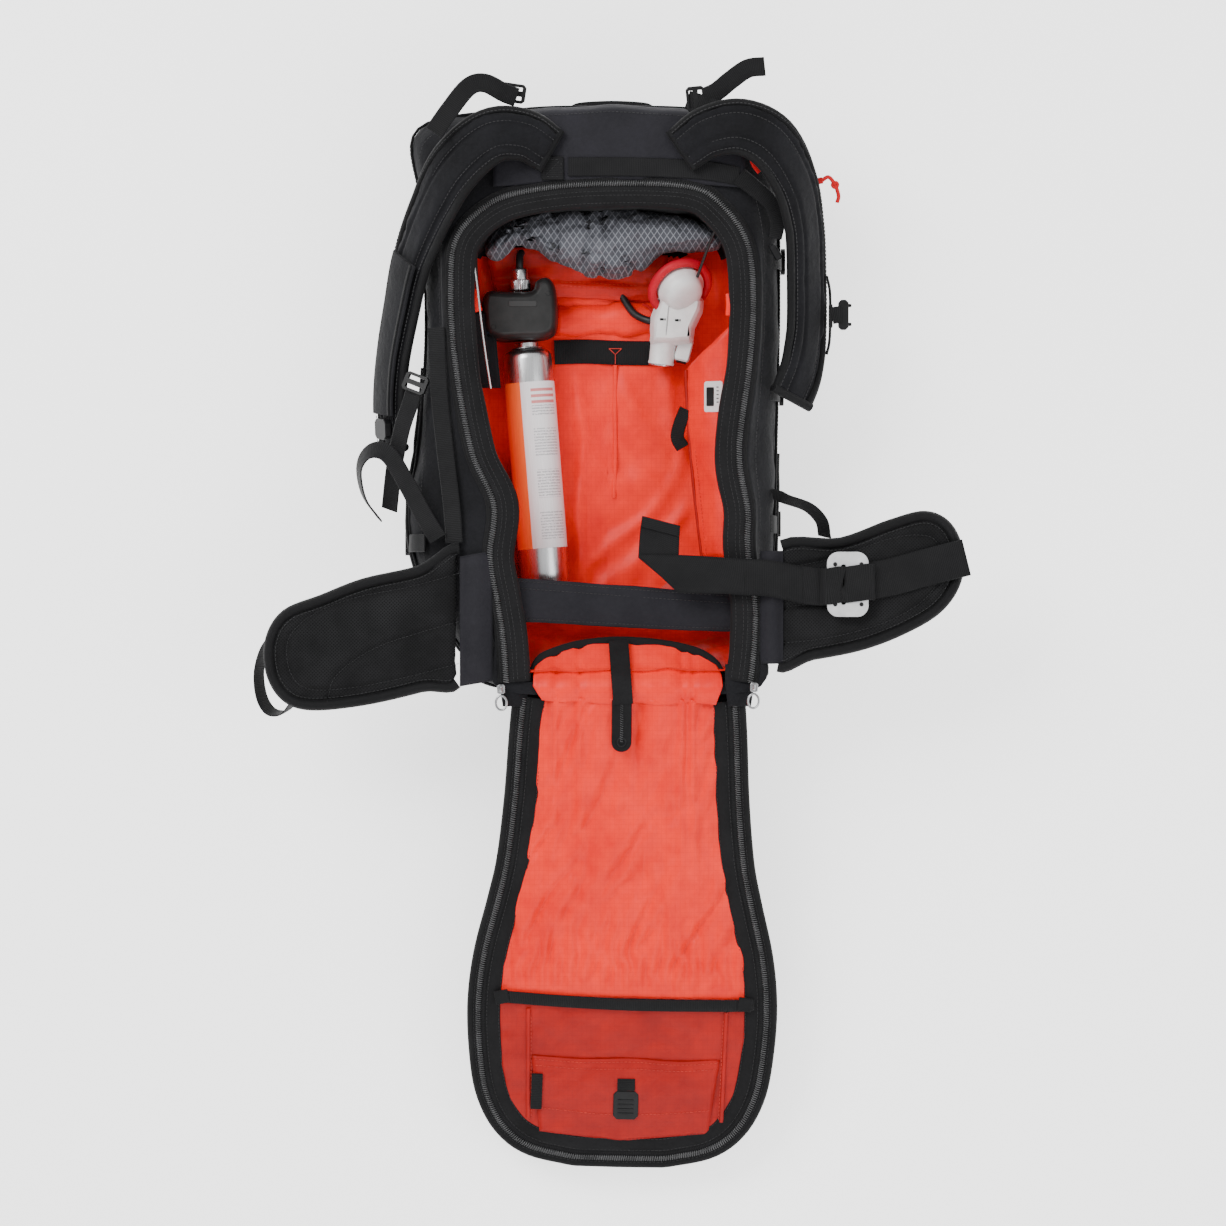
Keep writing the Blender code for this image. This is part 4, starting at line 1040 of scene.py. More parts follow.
    run = spline([(-0.112, -0.2105, 0.148), (-0.085, -0.211, 0.1455), (-0.02, -0.215, 0.143),
                  (0.06, -0.22, 0.143), (0.112, -0.2225, 0.1455), (0.137, -0.2235, 0.149)], 8)
    widths = np.linspace(0.048, 0.04, len(run))
    lumbar = strap("lumbar_cross_band", run, widths, 0.0022, crown=0.0022)
    shape_points(lumbar, lambda p, n: n * (0.0009 * fractal(*p, 0.05, 3, 61.0)))
    piece(lumbar, BLUISH_FABRIC, "band_fabric", "pack", "lumbar_band")
    edges = []
    for sign in (-1, 1):
        side = np.stack([run[:, 0], run[:, 1] + sign * (widths / 2 - 0.0035), run[:, 2] + 0.0022], 1)
        edges.append(side)
    edges.append(np.stack([run[:, 0], run[:, 1] + widths / 2 - 0.011, run[:, 2] + 0.003], 1))
    piece(stitches("lumbar_stitching", edges), THREAD, "black_fabric", "pack")


def rounded_plate(name, wide, long, thick, corner, matrix):
    """Thin plate with rounded corners, flat in the matrix's XY."""
    angles = np.linspace(0, math.pi / 2, 5)
    outline = []
    for k, (sx, sy) in enumerate(((1, 1), (-1, 1), (-1, -1), (1, -1))):
        for a in angles:
            turn = a + k * math.pi / 2
            outline.append((sx * (wide / 2 - corner) + corner * math.cos(turn),
                            sy * (long / 2 - corner) + corner * math.sin(turn)))
    outline = np.array(outline)[::-1]
    edge = min(thick * 0.4, corner * 0.5)
    rings = [lift(outline, 0.0), lift(outline, thick - edge), lift(offset(outline, edge, True), thick)]
    return surface(name, moved(rings, matrix), wrap=True, caps=True, angle=50)


def build_frame_wires():
    """Stiff wires beside the opening, each in its red tab over a black slot."""
    wires = {
        "left": [(-0.1465, 0.152, 0.1615), (-0.1415, 0.118, 0.1622), (-0.1385, 0.09, 0.1615),
                 (-0.1335, 0.05, 0.156), (-0.128, 0.013, 0.148)],
        "right": [(0.1255, 0.152, 0.1615), (0.1275, 0.118, 0.1622), (0.1275, 0.09, 0.1615),
                  (0.125, 0.04, 0.156), (0.1225, 0.002, 0.148)],
    }
    for side, route in wires.items():
        run = spline(route, 6)
        piece(cord_mesh("stay_wire_" + side, run, 0.0012), STEEL, "steel", "pack", "frame_wire_" + side)
    tab = spline([(-0.148, 0.116, 0.156), (-0.1455, 0.104, 0.158), (-0.1425, 0.093, 0.1575)], 5)
    piece(strap("wire_tab_left", tab, 0.0125, 0.002, (0.1, 0, 1)), RED_LINING, "red_lining", "pack")
    tab = spline([(0.1235, 0.112, 0.16), (0.124, 0.1, 0.162), (0.1235, 0.089, 0.161)], 5)
    piece(strap("wire_tab_right", tab, 0.0085, 0.002, (-0.1, 0, 1)), RED_LINING, "red_lining", "pack")
    slot = spline([(-0.1435, 0.094, 0.112), (-0.14, 0.06, 0.11), (-0.134, 0.02, 0.11)], 6)
    piece(strap("wire_slot_left", slot, np.linspace(0.02, 0.012, len(slot)), 0.0016, (0.4, 0, 1)),
          BLACK_FABRIC, "black_fabric", "pack")
    slot = spline([(0.127, 0.088, 0.15), (0.125, 0.04, 0.146), (0.1225, -0.01, 0.144)], 6)
    piece(strap("wire_slot_right", slot, 0.0075, 0.0016, (-0.3, 0, 1)), BLACK_FABRIC, "black_fabric",
          "pack")


# ---------------------------------------------------------------- airbag system
def build_airbag():
    outline = spline([
        (-0.134, 0.158), (-0.119, 0.185), (-0.08, 0.201), (-0.01, 0.205), (0.06, 0.2025),
        (0.1, 0.191), (0.116, 0.174), (0.111, 0.164), (0.09, 0.164), (0.055, 0.162),
        (0.028, 0.142), (0.0, 0.132), (-0.03, 0.143), (-0.062, 0.152), (-0.078, 0.167),
        (-0.1, 0.172), (-0.12, 0.152),
    ], 4, True)
    rings = [lift(offset(outline, inset, True), z) for inset, z in (
        (0.012, 0.07), (0.003, 0.077), (0.0, 0.098), (0.003, 0.118), (0.009, 0.128), (0.015, 0.131))]
    bundle = puff(surface("airbag_folded", rings, wrap=True, caps=True), 0.0045, 0.009)
    pleats = [resample(line, 40) for line in (
        ((-0.064, 0.206), (-0.058, 0.185), (-0.062, 0.16)), ((-0.03, 0.207), (-0.022, 0.18),
                                                             (-0.032, 0.145)),
        ((-0.012, 0.2), (-0.004, 0.17), (-0.012, 0.138)), ((0.004, 0.16), (0.016, 0.15), (0.024, 0.14)),
        ((-0.1, 0.195), (-0.092, 0.185), (-0.09, 0.172)), ((-0.026, 0.158), (0.0, 0.152), (0.012, 0.158)),
    )]

    def fold(p, n):
        groove = math.exp(-(away_from(pleats, p.x, p.y) / 0.0038) ** 2)
        swell = 0.005 * fractal(p.x, p.y, p.z, 0.038, 4, 71.0) + 0.0022 * (crease(*p, 0.03, 73.0) - 0.7)
        return n * (swell - 0.0046 * groove)

    shape_points(bundle, fold)
    piece(bundle, AIRBAG, "airbag_fabric", "pack", "airbag_bundle")
    seam = spline([(-0.022, 0.196, 0.141), (0.02, 0.19, 0.143), (0.06, 0.186, 0.142), (0.1, 0.182, 0.136)],
                  10)
    on_top = [Vector(p) for p in seam]
    for p in on_top:
        hit, place, *_ = bundle.ray_cast(Vector((p.x, p.y, 0.2)), Vector((0, 0, -1)))
        p.z = place.z + 0.0004 if hit else p.z
    rows = [np.array([tuple(p) for p in on_top]) + (0, dy, 0) for dy in (0.0, -0.0035)]
    piece(stitches("airbag_seam", rows), moulded("grey_thread", (0.03, 0.032, 0.04), (0.06, 0.062, 0.07),
                                                 0.7),
          "airbag_fabric", "pack")

    centre = Vector((0.0725, 0.1235, 0.101))
    face = Vector((0.33, -0.62, 0.71)).normalized()
    home = frame_at(centre, face, (0, 1, 0))
    angles = np.arange(48) * 2 * math.pi / 48
    ring = [home @ Vector((0.0315 * math.cos(a), 0.0004 * math.sin(5 * a),
                           0.0315 * math.sin(a))) for a in angles]
    collar = sweep("collar_ring", ring, round_section(0.0046, 0.0052, 12), tuple(face), closed=True)
    piece(collar, COLLAR, "collar_rubber", "pack", "airbag_collar")
    piece(stitches("collar_stitching", [np.array(ring + ring[:1]) + np.array(face) * 0.005], tuple(face)),
          RED_THREAD, "collar_rubber", "pack")

    profile = [(0.0245, -0.004), (0.0255, 0.0), (0.0255, 0.0035), (0.024, 0.005), (0.0225, 0.0085),
               (0.0222, 0.01),
               (0.0198, 0.015), (0.018, 0.017), (0.012, 0.019), (0.004, 0.0194)]
    piece(turned("ejector_cone", profile, home, 48, 35), WHITE_PLASTIC, "white_plastic", "pack",
          "ejector_inlet")
    build_ejector()


def build_ejector():
    """Faceted white housing with a round nozzle and a square stub beside it."""
    shape = np.array([
        (0.0479, 0.1102), (0.056, 0.124), (0.066, 0.133), (0.08, 0.129), (0.0903, 0.1187),
        (0.0985, 0.1095), (0.0972, 0.0979), (0.0886, 0.08), (0.0874, 0.0684), (0.0835, 0.064),
        (0.064, 0.062), (0.042, 0.064), (0.0405, 0.0807), (0.0413, 0.093)])
    levels = [(0.005, 0.0575), (0.0, 0.062), (0.0, 0.084), (0.0042, 0.0965), (0.0076, 0.1005)]
    rings = [lift(offset(shape, inset, True), z) for inset, z in levels]
    for ring in rings[2:]:
        ring[:, 2] += np.clip((ring[:, 1] - 0.075) * 0.16, 0.0, 0.01)
    body = surface("ejector_housing", rings, wrap=True, caps=True, angle=12)
    edge = body.modifiers.new("edge", "BEVEL")
    edge.width = 0.0012
    edge.segments = 3
    edge.angle_limit = math.radians(12)
    bake(body)
    body.data.shade_smooth()
    body.data.set_sharp_from_angle(angle=math.radians(28))
    piece(body, WHITE_PLASTIC, "white_plastic", "pack", "ejector_body")

    home = frame_at((0.0556, 0.07, 0.0765), (-0.115, -1.0, -0.05), (0, 0, 1))
    profile = [(0.01, -0.006), (0.015, -0.004), (0.015, 0.004), (0.0138, 0.0065), (0.0134, 0.0245),
               (0.014, 0.0255), (0.014, 0.0275), (0.0118, 0.028), (0.0112, 0.024), (0.005, 0.02)]
    piece(turned("ejector_nozzle", profile, home, 40, 40), WHITE_PLASTIC, "white_plastic", "pack")
    rim = [(0.0112, 0.0272), (0.0132, 0.0272), (0.0138, 0.028), (0.0136, 0.0292), (0.0118, 0.0296),
           (0.0108, 0.0286)]
    piece(turned("ejector_nozzle_rim", rim, home, 40), STEEL, "steel", "pack", "ejector_nozzle_ring")
    stub = rounded_plate("ejector_stub", 0.0165, 0.025, 0.019, 0.0035,
                         Matrix.Translation((0.077, 0.058, 0.064)) @ Matrix.Rotation(math.radians(-14), 4,
                                 "Z"))
    piece(stub, WHITE_PLASTIC, "white_plastic", "pack")
    port = rounded_plate("ejector_port", 0.011, 0.003, 0.013, 0.001,
                         Matrix.Translation((0.0742, 0.0456, 0.0665)) @ Matrix.Rotation(math.radians(-14),
                                 4, "Z"))
    piece(port, BLACK_PLASTIC, "black_plastic", "pack")
    marks = []
    for x, y in ((0.053, 0.089), (0.069, 0.088)):
        spot = Matrix.Translation((x, y, 0.1005 + max(0.0, (y - 0.075) * 0.16)))
        marks.append(rounded_plate("mark", 0.0042, 0.0024, 0.0007, 0.0008, spot))
        marks.append(rounded_plate("mark", 0.0012, 0.0022, 0.0007, 0.0004,
                                   spot @ Matrix.Translation((0.0034, 0, 0))))
    piece(merge("ejector_catches", marks), BLACK_PLASTIC, "black_plastic", "pack")
    ridge = [strap("ridge", [(0.066, 0.13, 0.1085), (0.06, 0.1, 0.1047), (0.0575, 0.072, 0.1003)],
                   0.0012, 0.0008)]
    piece(merge("ejector_parting_line", ridge), moulded("joint_shadow", (0.25, 0.25, 0.25),
                                                        (0.36, 0.36, 0.36)),
          "white_plastic", "pack")


def build_inflation_head():
    outline = spline([
        (-0.136, 0.116), (-0.11, 0.1185), (-0.086, 0.1195), (-0.0805, 0.13), (-0.069, 0.1335),
        (-0.0605, 0.122), (-0.058, 0.094), (-0.061, 0.076), (-0.074, 0.069), (-0.1, 0.068),
        (-0.122, 0.068), (-0.136, 0.078),
    ], 6, True)
    base = [(0.006, 0.0492), (0.0015, 0.051), (0.0, 0.055), (0.0, 0.079), (0.0008, 0.0812), (0.003, 0.0815)]
    cover = [(0.003, 0.0824), (0.0008, 0.0827), (0.0, 0.085), (0.0, 0.099), (0.001, 0.1055),
             (0.0032, 0.1105),
             (0.0054, 0.113), (0.0072, 0.1139)]
    for name, rings in (("base", base), ("cover", cover)):
        rows = [lift(offset(outline, inset, True), z) for inset, z in rings]
        half = surface("head_" + name, rows, wrap=True, caps=True, angle=50)
        piece(half, HEAD_PLASTIC, "black_plastic", "pack", "inflation_head_" + name)
    screws = []
    for x, y in ((-0.126, 0.08), (-0.068, 0.116)):
        spot = Matrix.Translation((x, y, 0.1132)) @ Matrix.Rotation(math.pi / 2, 4, "X")
        screws.append(turned("screw", [(0.0034, 0.0), (0.0034, 0.0006), (0.0022, 0.0008), (0.0016, 0.0),
                                       (0.0004, 0.0)],
                             spot, 24))
    piece(merge("head_screws", screws), BLACK_PLASTIC, "black_plastic", "pack")
    plate = rounded_plate("head_blank_badge", 0.03, 0.0065, 0.0008, 0.0022,
                          Matrix.Translation((-0.095, 0.105, 0.1138)))
    piece(plate, moulded("badge_plastic", (0.012, 0.012, 0.012), (0.02, 0.02, 0.02), 0.6), "black_plastic",
          "pack")

    home = frame_at((-0.0975, 0.12, 0.083), (-0.05, 1, 0), (0, 0, 1))
    rows = []
    sides = 72
    for radius, height, depth in ((0.0085, 0.0006, 0), (0.01, 0.0012, 0), (0.0106, 0.0022, 0.0005),
                                  (0.0106, 0.0112, 0.0005), (0.01, 0.0122, 0), (0.0086, 0.0128, 0),
                                  (0.0086, 0.0225, 0), (0.008, 0.0238, 0), (0.004, 0.024, 0)):
        rows.append([((radius - depth * (k % 2)) * math.cos(2 * math.pi * k / sides), height,
                      (radius - depth * (k % 2)) * math.sin(2 * math.pi * k / sides)) for k in range(sides)])
    nut = surface("knurled_nut", moved(rows, home), wrap=True, caps=True, angle=25)
    piece(nut, STEEL, "steel", "hose_nut_body", "hose_nut")

    hose = [(-0.0988, 0.1446, 0.083), (-0.099, 0.152, 0.082), (-0.0985, 0.16, 0.0755),
            (-0.094, 0.165, 0.063), (-0.084, 0.1655, 0.055), (-0.06, 0.165, 0.053),
            (-0.025, 0.16, 0.053), (0.0, 0.138, 0.0535), (0.012, 0.115, 0.058),
            (0.023, 0.098, 0.068), (0.037, 0.09, 0.077), (0.0465, 0.0885, 0.0785)]
    run = spline(hose, 4)
    tube = cord_mesh("pressure_hose_run", run, 0.004, sides=14)
    piece(tube, HOSE, "hose_rubber", "pack", "pressure_hose")
    cable = [(-0.1405, 0.102, 0.096), (-0.1425, 0.112, 0.1), (-0.144, 0.128, 0.108),
             (-0.1445, 0.146, 0.12), (-0.144, 0.156, 0.14), (-0.144, 0.158, 0.156)]
    run = spline(cable, 5)
    tube = cord_mesh("release_cable_run", run, 0.0018)
    piece(tube, HOSE, "hose_rubber", "pack", "trigger_cable")
    hanger = [(0.108, 0.206, 0.15), (0.11, 0.193, 0.156), (0.1085, 0.18, 0.15), (0.102, 0.164, 0.137),
              (0.096, 0.148, 0.124), (0.0905, 0.133, 0.116)]
    run = spline(hanger, 5)
    tube = cord_mesh("collar_tether", run, 0.0016)
    piece(tube, HOSE, "hose_rubber", "pack")

    rows = [[(-0.152, y, z + 0.004), (-0.14, y, z), (-0.124 + 0.1 * (0.07 - y) * (y < 0.07), y, z - 0.004)]
            for y, z in ((0.104, 0.103), (0.08, 0.101), (0.055, 0.1), (0.03, 0.099), (0.016, 0.0985))]
    cloth_patch("head_backing", rows, 5, lambda x, y, z: 0.0006 * fractal(x, y, z, 0.02, 3, 77.0),
                BLACK_FABRIC, "black_fabric")
    for k, (y, long) in enumerate(((0.0885, 0.0085), (0.0745, 0.013))):
        plate = rounded_plate("blue_tab_" + str(k), 0.017, long, 0.0016, 0.003,
                              Matrix.Translation((-0.143, y, 0.1028)) @ Matrix.Rotation(math.radians(8), 4,
                                      "Z"))
        piece(plate, BLUE_TAB, "black_plastic", "pack")


def build_cartridge():
    home = Matrix.Translation(CARTRIDGE_TOP) @ Matrix.Rotation(math.radians(CARTRIDGE_TURN), 4, "Z")
    neck = [(0.01, -0.0074), (0.0126, -0.0072), (0.013, -0.0066), (0.013, -0.0026), (0.0172, -0.0018),
            (0.0175, -0.0008), (0.017, -0.0003)]
    piece(turned("cartridge_collar", neck, home, 40), STEEL, "steel", "cartridge_carrier", "cartridge_neck")
    r = CARTRIDGE_RADIUS
    tank = [(0.006, 0.0002), (0.016, 0.0003), (0.02, 0.0014), (0.0235, 0.0036), (0.0253, 0.0065),
            (r, 0.011),
            (r, 0.035), (r, 0.12), (r, 0.215), (r, 0.24), (0.0255, 0.2462), (0.0238, 0.252),
            (0.0205, 0.256),
            (0.016, 0.2578), (0.006, 0.258)]
    body = turned("cartridge_cylinder", tank, home, 64, 50)
    piece(body, ALUMINIUM, "cartridge_metal", "cartridge", "cartridge_tank")
    sleeve = [(r + 0.0001, 0.0358), (r + 0.0007, 0.036), (r + 0.0008, 0.06), (r + 0.0008, 0.12),
              (r + 0.0008, 0.19), (r + 0.0007, 0.214), (r + 0.0001, 0.2142)]
    angles = np.arange(65) * 2 * math.pi / 64
    rows = [[(q * math.cos(a), h, q * math.sin(a)) for a in angles] for q, h in sleeve]
    piece(surface("cartridge_sleeve_print", moved(rows, home)), LABEL, "label_paper", "cartridge",
          "cartridge_label")


# ---------------------------------------------------------------- back panel
PANEL = (Matrix.Translation(PANEL_HINGE) @ Matrix.Rotation(math.radians(PANEL_YAW), 4, "Z")
         @ Matrix.Rotation(math.radians(PANEL_SLOPE), 4, "X"))


def panel_edge(inset, start=0.004, steps=6):
    """The panel's outline from the fold's right end round to its left end, moved inwards."""
    rows = spline([p for p in PANEL_SHAPE], steps)
    right = np.array([(w, -d) for d, w in rows if d >= start])
    around = np.concatenate([right, [(0.0, -PANEL_LENGTH - 0.0005)], right[::-1] * (-1, 1)])
    smooth = resample(around, 150)
    return offset(smooth, inset)


def panel_pad_height(x, d):
    """Depth of the sewn channels in the back padding, 0 on a pad and 1 in a channel."""
    lines = 0.0
    for at in (0.085, 0.205, 0.325, 0.43):
        lines = max(lines, math.exp(-((d - at) / 0.0075) ** 2))
    lines = max(lines, math.exp(-(x / 0.013) ** 2))
    return lines


def build_panel():
    face = PANEL_FACE
    outer = panel_edge(0.0)
    bottom = np.array([(x, -0.01) for x in np.linspace(outer[-1][0], outer[0][0], 24)[1:-1]])
    ring = np.concatenate([outer, bottom])

    def at(inset, z):
        return lift(offset(ring, inset, True), z)

    rings = [at(0.016, face + 0.0002), at(0.004, face + 0.0002), at(0.0, face - 0.003),
             at(-0.0016, face - 0.009),
             at(0.001, face - 0.0165), at(0.008, face - 0.0215)]
    inner = at(0.015, face - 0.0235)
    spine = inner.copy()
    spine[:, 0] = 0.0
    spine[:, 1] = np.clip(inner[:, 1], -0.42, -0.08)
    rings = list(spline(rings, 3)) + fold_in(inner, spine, np.linspace(0.0, 1.0, 22))

    def cushion(x, y, z):
        if z > face - 0.021:
            return 0.0
        edge = min(1.0, max(0.0, (np.interp(-y, *np.array(PANEL_SHAPE).T) - abs(x) - 0.014) / 0.02))
        return edge * (0.0065 * panel_pad_height(x, -y) - 0.0035) + 0.0006 * fractal(x, y, z, 0.04, 3, 81.0)

    rows = ruffle(rings, cushion, True)
    pad = surface("back_panel_padding", moved(rows, PANEL), wrap=True, angle=60)
    piece(pad, BLACK_FABRIC, "panel_foam", "back_panel", "panel_foam", "panel_board")
    pad.data.materials.append(PAD_MESH)
    under = (PANEL.to_3x3() @ Vector((0, 0, -1))).normalized()
    for polygon in pad.data.polygons:
        polygon.material_index = int(polygon.normal.dot(under) > 0.55)
    grips = []
    for d in (0.145, 0.265, 0.378):
        side = float(np.interp(d, *np.array(PANEL_SHAPE).T)) - 0.03
        grips.append(strap("bar", [(-side, -d, face - 0.0252), (side, -d, face - 0.0252)], 0.006, 0.0016,
                           (0, 0, -1)))
    bars = merge("back_panel_piping_lines", grips)
    bars.data.transform(PANEL)
    piece(bars, BINDING, "black_webbing", "back_panel")

    edge = panel_edge(0.0)
    rim = sweep("back_panel_edge_binding", lift(edge, face - 0.0016), round_section(0.0042, 0.004, 12))
    rim.data.transform(PANEL)
    piece(rim, BINDING, "black_webbing", "back_panel")
    tape = strap("panel_zip_tape", lift(panel_edge(0.009), face + 0.0008), 0.016, 0.0008)
    tape.data.transform(PANEL)
    piece(tape, WEBBING, "black_webbing", "back_panel")
    zip_side = coil("panel_zip_coil", lift(panel_edge(0.0078), face + 0.0023))
    zip_side.data.transform(PANEL)
    piece(zip_side, COIL, "zip_coil", "back_panel", "panel_zip_chain")
    inner_line = lift(panel_edge(0.0235), face + 0.0018)
    inner_line[:, 2] += [0.001 * fractal(*p, 0.03, 2, 83.0) for p in inner_line]
    cover = strap("panel_inner_binding", inner_line, 0.016, 0.0022, crown=0.0012)
    cover.data.transform(PANEL)
    piece(cover, RIM_CLOTH, "black_webbing", "back_panel")
    threads = [lift(panel_edge(inset), face + z) for inset, z in ((0.0028, 0.0012), (0.0172, 0.0034),
            (0.03, 0.0034))]
    seam = stitches("panel_edge_stitching", threads)
    seam.data.transform(PANEL)
    piece(seam, THREAD, "black_fabric", "back_panel")

    build_panel_pocket(face)
    build_panel_lower(face)
    build_key_hook()


PLEATS = ((-0.077, 0.0), (-0.052, 0.02), (0.056, 0.01), (0.067, 0.028))


def pocket_height(x, d, half):
    """How far the gathered pocket stands off the panel at (x, d)."""
    across = min(1.0, abs(x) / half)
    belly = 0.0105 * (1 - across ** 3) * min(1.0, max(0.05, (POCKET_END + 0.004 - d) / 0.05))
    pleat = 0.0
    for at, drift in PLEATS:
        line = at + drift * (d / POCKET_END) ** 2
        pleat += 0.0046 * math.exp(-((x - line) / 0.004) ** 2) * min(1.0, max(0.0, (0.24 - d) / 0.2))
    low = min(1.0, max(0.0, (d - 0.225) / 0.1))
    gather = 0.0034 * low * math.sin(430 * x + 3.5 * fractal(x, d, 0.3, 0.05, 2, 91.0))
    drape = 0.0056 * fractal(x * 1.7, d * 0.55, 0.0, 0.06, 4, 95.0)
    sharp = 0.0058 * (crease(x * 1.25 + 0.55 * d, d * 0.45, 0.0, 0.06, 99.0) - 0.6)
    edge = min(1.0, (1 - across) / 0.12)
    hem = min(1.0, max(0.1, (POCKET_END - 0.002 - d) / 0.03))
    return 0.0016 + belly + (pleat + gather + drape + sharp) * (0.25 + 0.75 * edge) * hem


def build_panel_pocket(face):
    rows = []
    for d in np.linspace(0.006, POCKET_END + 0.005, 110):
        half = float(np.interp(d, *np.array(PANEL_SHAPE).T)) - 0.0275
        shares = np.linspace(-1, 1, 112)
        rows.append([(half * s, -d, face + pocket_height(half * s, d, half)) for s in shares])
    cloth = surface("panel_pocket_cloth", moved(rows, PANEL), angle=80)
    piece(thicken(cloth, 0.0009), RED_LINING, "red_lining", "back_panel", "panel_pocket")

    band = spline([(-0.133, -0.3365, face + 0.0075), (-0.123, -0.3385, face + 0.007),
                   (-0.06, -0.3425, face + 0.0066),
                   (0.02, -0.3448, face + 0.0066), (0.127, -0.3432, face + 0.007),
                   (0.1345, -0.34, face + 0.0075)], 8)
    elastic = strap("panel_gather_band", band, 0.0135, 0.0024, crown=0.001)
    elastic.data.transform(PANEL)
    piece(elastic, WEBBING, "black_webbing", "back_panel", "panel_elastic")
    tips = []
    for x, y, turn in ((-0.129, -0.338, 12), (0.131, -0.3412, -8)):
        spot = (Matrix.Translation((x, y, face + 0.0085)) @ Matrix.Rotation(math.radians(turn), 4, "Z"))
        tips.append(rounded_plate("tip", 0.015, 0.015, 0.0018, 0.0012, spot))
    tip = merge("panel_band_folded_ends", tips)
    tip.data.transform(PANEL)
    piece(tip, BINDING, "black_webbing", "back_panel")

    run = [(-0.0075, -0.006, 0), (-0.0072, -0.03, 0), (-0.007, -0.052, 0)]
    path = spline([(x, y, face + pocket_height(x, -y, 0.09) + 0.0056) for x, y, _ in run], 6)
    flap = strap("pocket_zip_flap_low", path, 0.021, 0.0016, crown=0.0006)
    flap.data.transform(PANEL)
    piece(flap, RIM_CLOTH, "black_fabric", "back_panel")
    tip = path[-1]
    end = turned("flap_end", [(0.003, 0.0), (0.01, 0.0), (0.0105, 0.0007), (0.01, 0.0016), (0.003, 0.0018)],
                 Matrix.Translation((tip[0], tip[1], tip[2] - 0.0009)) @ Matrix.Rotation(math.pi / 2, 4,
                         "X"), 32)
    end.data.transform(PANEL)
    piece(end, RIM_CLOTH, "black_fabric", "back_panel")
    thin = coil("pocket_zip_coil_low", path + (0, 0, 0.0014), half=0.0014, tall=0.0006, wire=0.0004)
    thin.data.transform(PANEL)
    piece(thin, COIL, "zip_coil", "back_panel")
    ring_at = (Matrix.Translation(tuple(tip + (0, 0.001, 0.0016))))
    angles = np.arange(20) * 2 * math.pi / 20
    loop = [(0.0042 * math.cos(a), 0.0048 * math.sin(a), 0) for a in angles]
    ring = sweep("pocket_zip_ring", moved(loop, ring_at), round_section(0.0008, 0.0008, 8), closed=True)
    ring.data.transform(PANEL)
    piece(ring, BLACK_PLASTIC, "black_plastic", "back_panel")


def build_panel_lower(face):
    rows = []
    for d in np.linspace(0.346, 0.501, 60):
        half = float(np.interp(d, *np.array(PANEL_SHAPE).T)) - 0.0285
        if d > 0.49:
            half = min(half, 0.1035 - 0.05 * ((d - 0.49) / 0.034) ** 2)
        rows.append([(half * s, -d, face + 0.0016 + 0.0011 * fractal(half * s, d, 0.0, 0.045, 3, 111.0)
                      + 0.0006 * (crease(half * s, d, 0, 0.05, 113.0) - 0.6)) for s in np.linspace(-1, 1,
                              70)])
    base = thicken(surface("panel_lower_cloth", moved(rows, PANEL), angle=80), 0.0009)
    piece(base, DEEP_LINING, "dark_red_lining", "back_panel", "panel_lower_pocket")
    mouth = spline([(-0.096, -0.405), (-0.04, -0.4075), (0.01, -0.406), (0.06, -0.4085), (0.106, -0.406)],
                   10)
    rows = []
    for t in np.linspace(0, 1, 26):
        line = []
        for x, y in mouth:
            depth = y + (-0.5 + 0.1 * abs(x) - y) * t
            puffed = 0.0034 + 0.0032 * math.sin(math.pi * min(1,
                                                              t * 1.15 + 0.05)) * (1 - (abs(x) / 0.112) ** 4)
            line.append((x * (1 - 0.1 * t), depth, face + puffed + 0.0009 * fractal(x, depth, 0, 0.03, 3,
                    117.0)))
        rows.append(line)
    pouch = thicken(surface("panel_map_pocket", moved(rows, PANEL), angle=80), 0.0009)
    piece(pouch, DEEP_LINING, "dark_red_lining", "back_panel")
    seams = [np.array(rows[1]) + (0, 0, 0.0008), np.array(rows[3]) + (0, 0, 0.0008),
             np.array(rows[17]) + (0, 0, 0.0008)]
    for x in (-0.0975, 0.1085):
        seams.append(np.array([(x - 0.02 * x * t, -0.358 - 0.118 * t, face + 0.005) for t in np.linspace(0,
                1, 12)]))
    seam = stitches("panel_map_stitching", seams, thick=0.0009)
    seam.data.transform(PANEL)
    piece(seam, RED_THREAD, "dark_red_lining", "back_panel")
    welts = [strap("welt", [(x - 0.02 * x * t, -0.352 - 0.124 * t, face + 0.004) for t in np.linspace(0, 1,
            16)],
                   0.0044, 0.0016, crown=0.0005) for x in (-0.1005, 0.1115)]
    welt = merge("panel_pocket_welts", welts)
    welt.data.transform(PANEL)
    piece(welt, DEEP_LINING, "dark_red_lining", "back_panel")
    tag = rounded_plate("panel_blank_tag", 0.012, 0.04, 0.0016, 0.0008,
                        Matrix.Translation((-0.09, -0.444, face + 0.007)) @ Matrix.Rotation(-0.02, 4, "Z"))
    tag.data.transform(PANEL)
    piece(tag, WEBBING, "black_webbing", "back_panel")


def build_key_hook():
    home = PANEL @ Matrix.Translation((0.006, -0.444, PANEL_FACE + 0.007))
    hook = refined("key_hook", 0.0009, "key_hook_detailed", 3)
    piece(hook, BLACK_PLASTIC, "black_plastic", "key_hook_body", "key_hook")
    ribs = [rounded_plate("rib", 0.017, 0.0016, 0.001, 0.0006,
                          home @ Matrix.Translation((0, -0.008 - 0.005 * k, 0.0009))) for k in range(4)]
    piece(merge("key_hook_ribs", ribs), BLACK_PLASTIC, "black_plastic", "key_hook_body")
    tab = spline([(0.006, -0.428, PANEL_FACE + 0.0068), (0.006, -0.436, PANEL_FACE + 0.0088),
                  (0.006, -0.4405, PANEL_FACE + 0.0092)], 4)
    loop = strap("key_hook_tab", tab, 0.019, 0.0018)
    loop.data.transform(PANEL)
    piece(loop, WEBBING, "black_webbing", "back_panel")


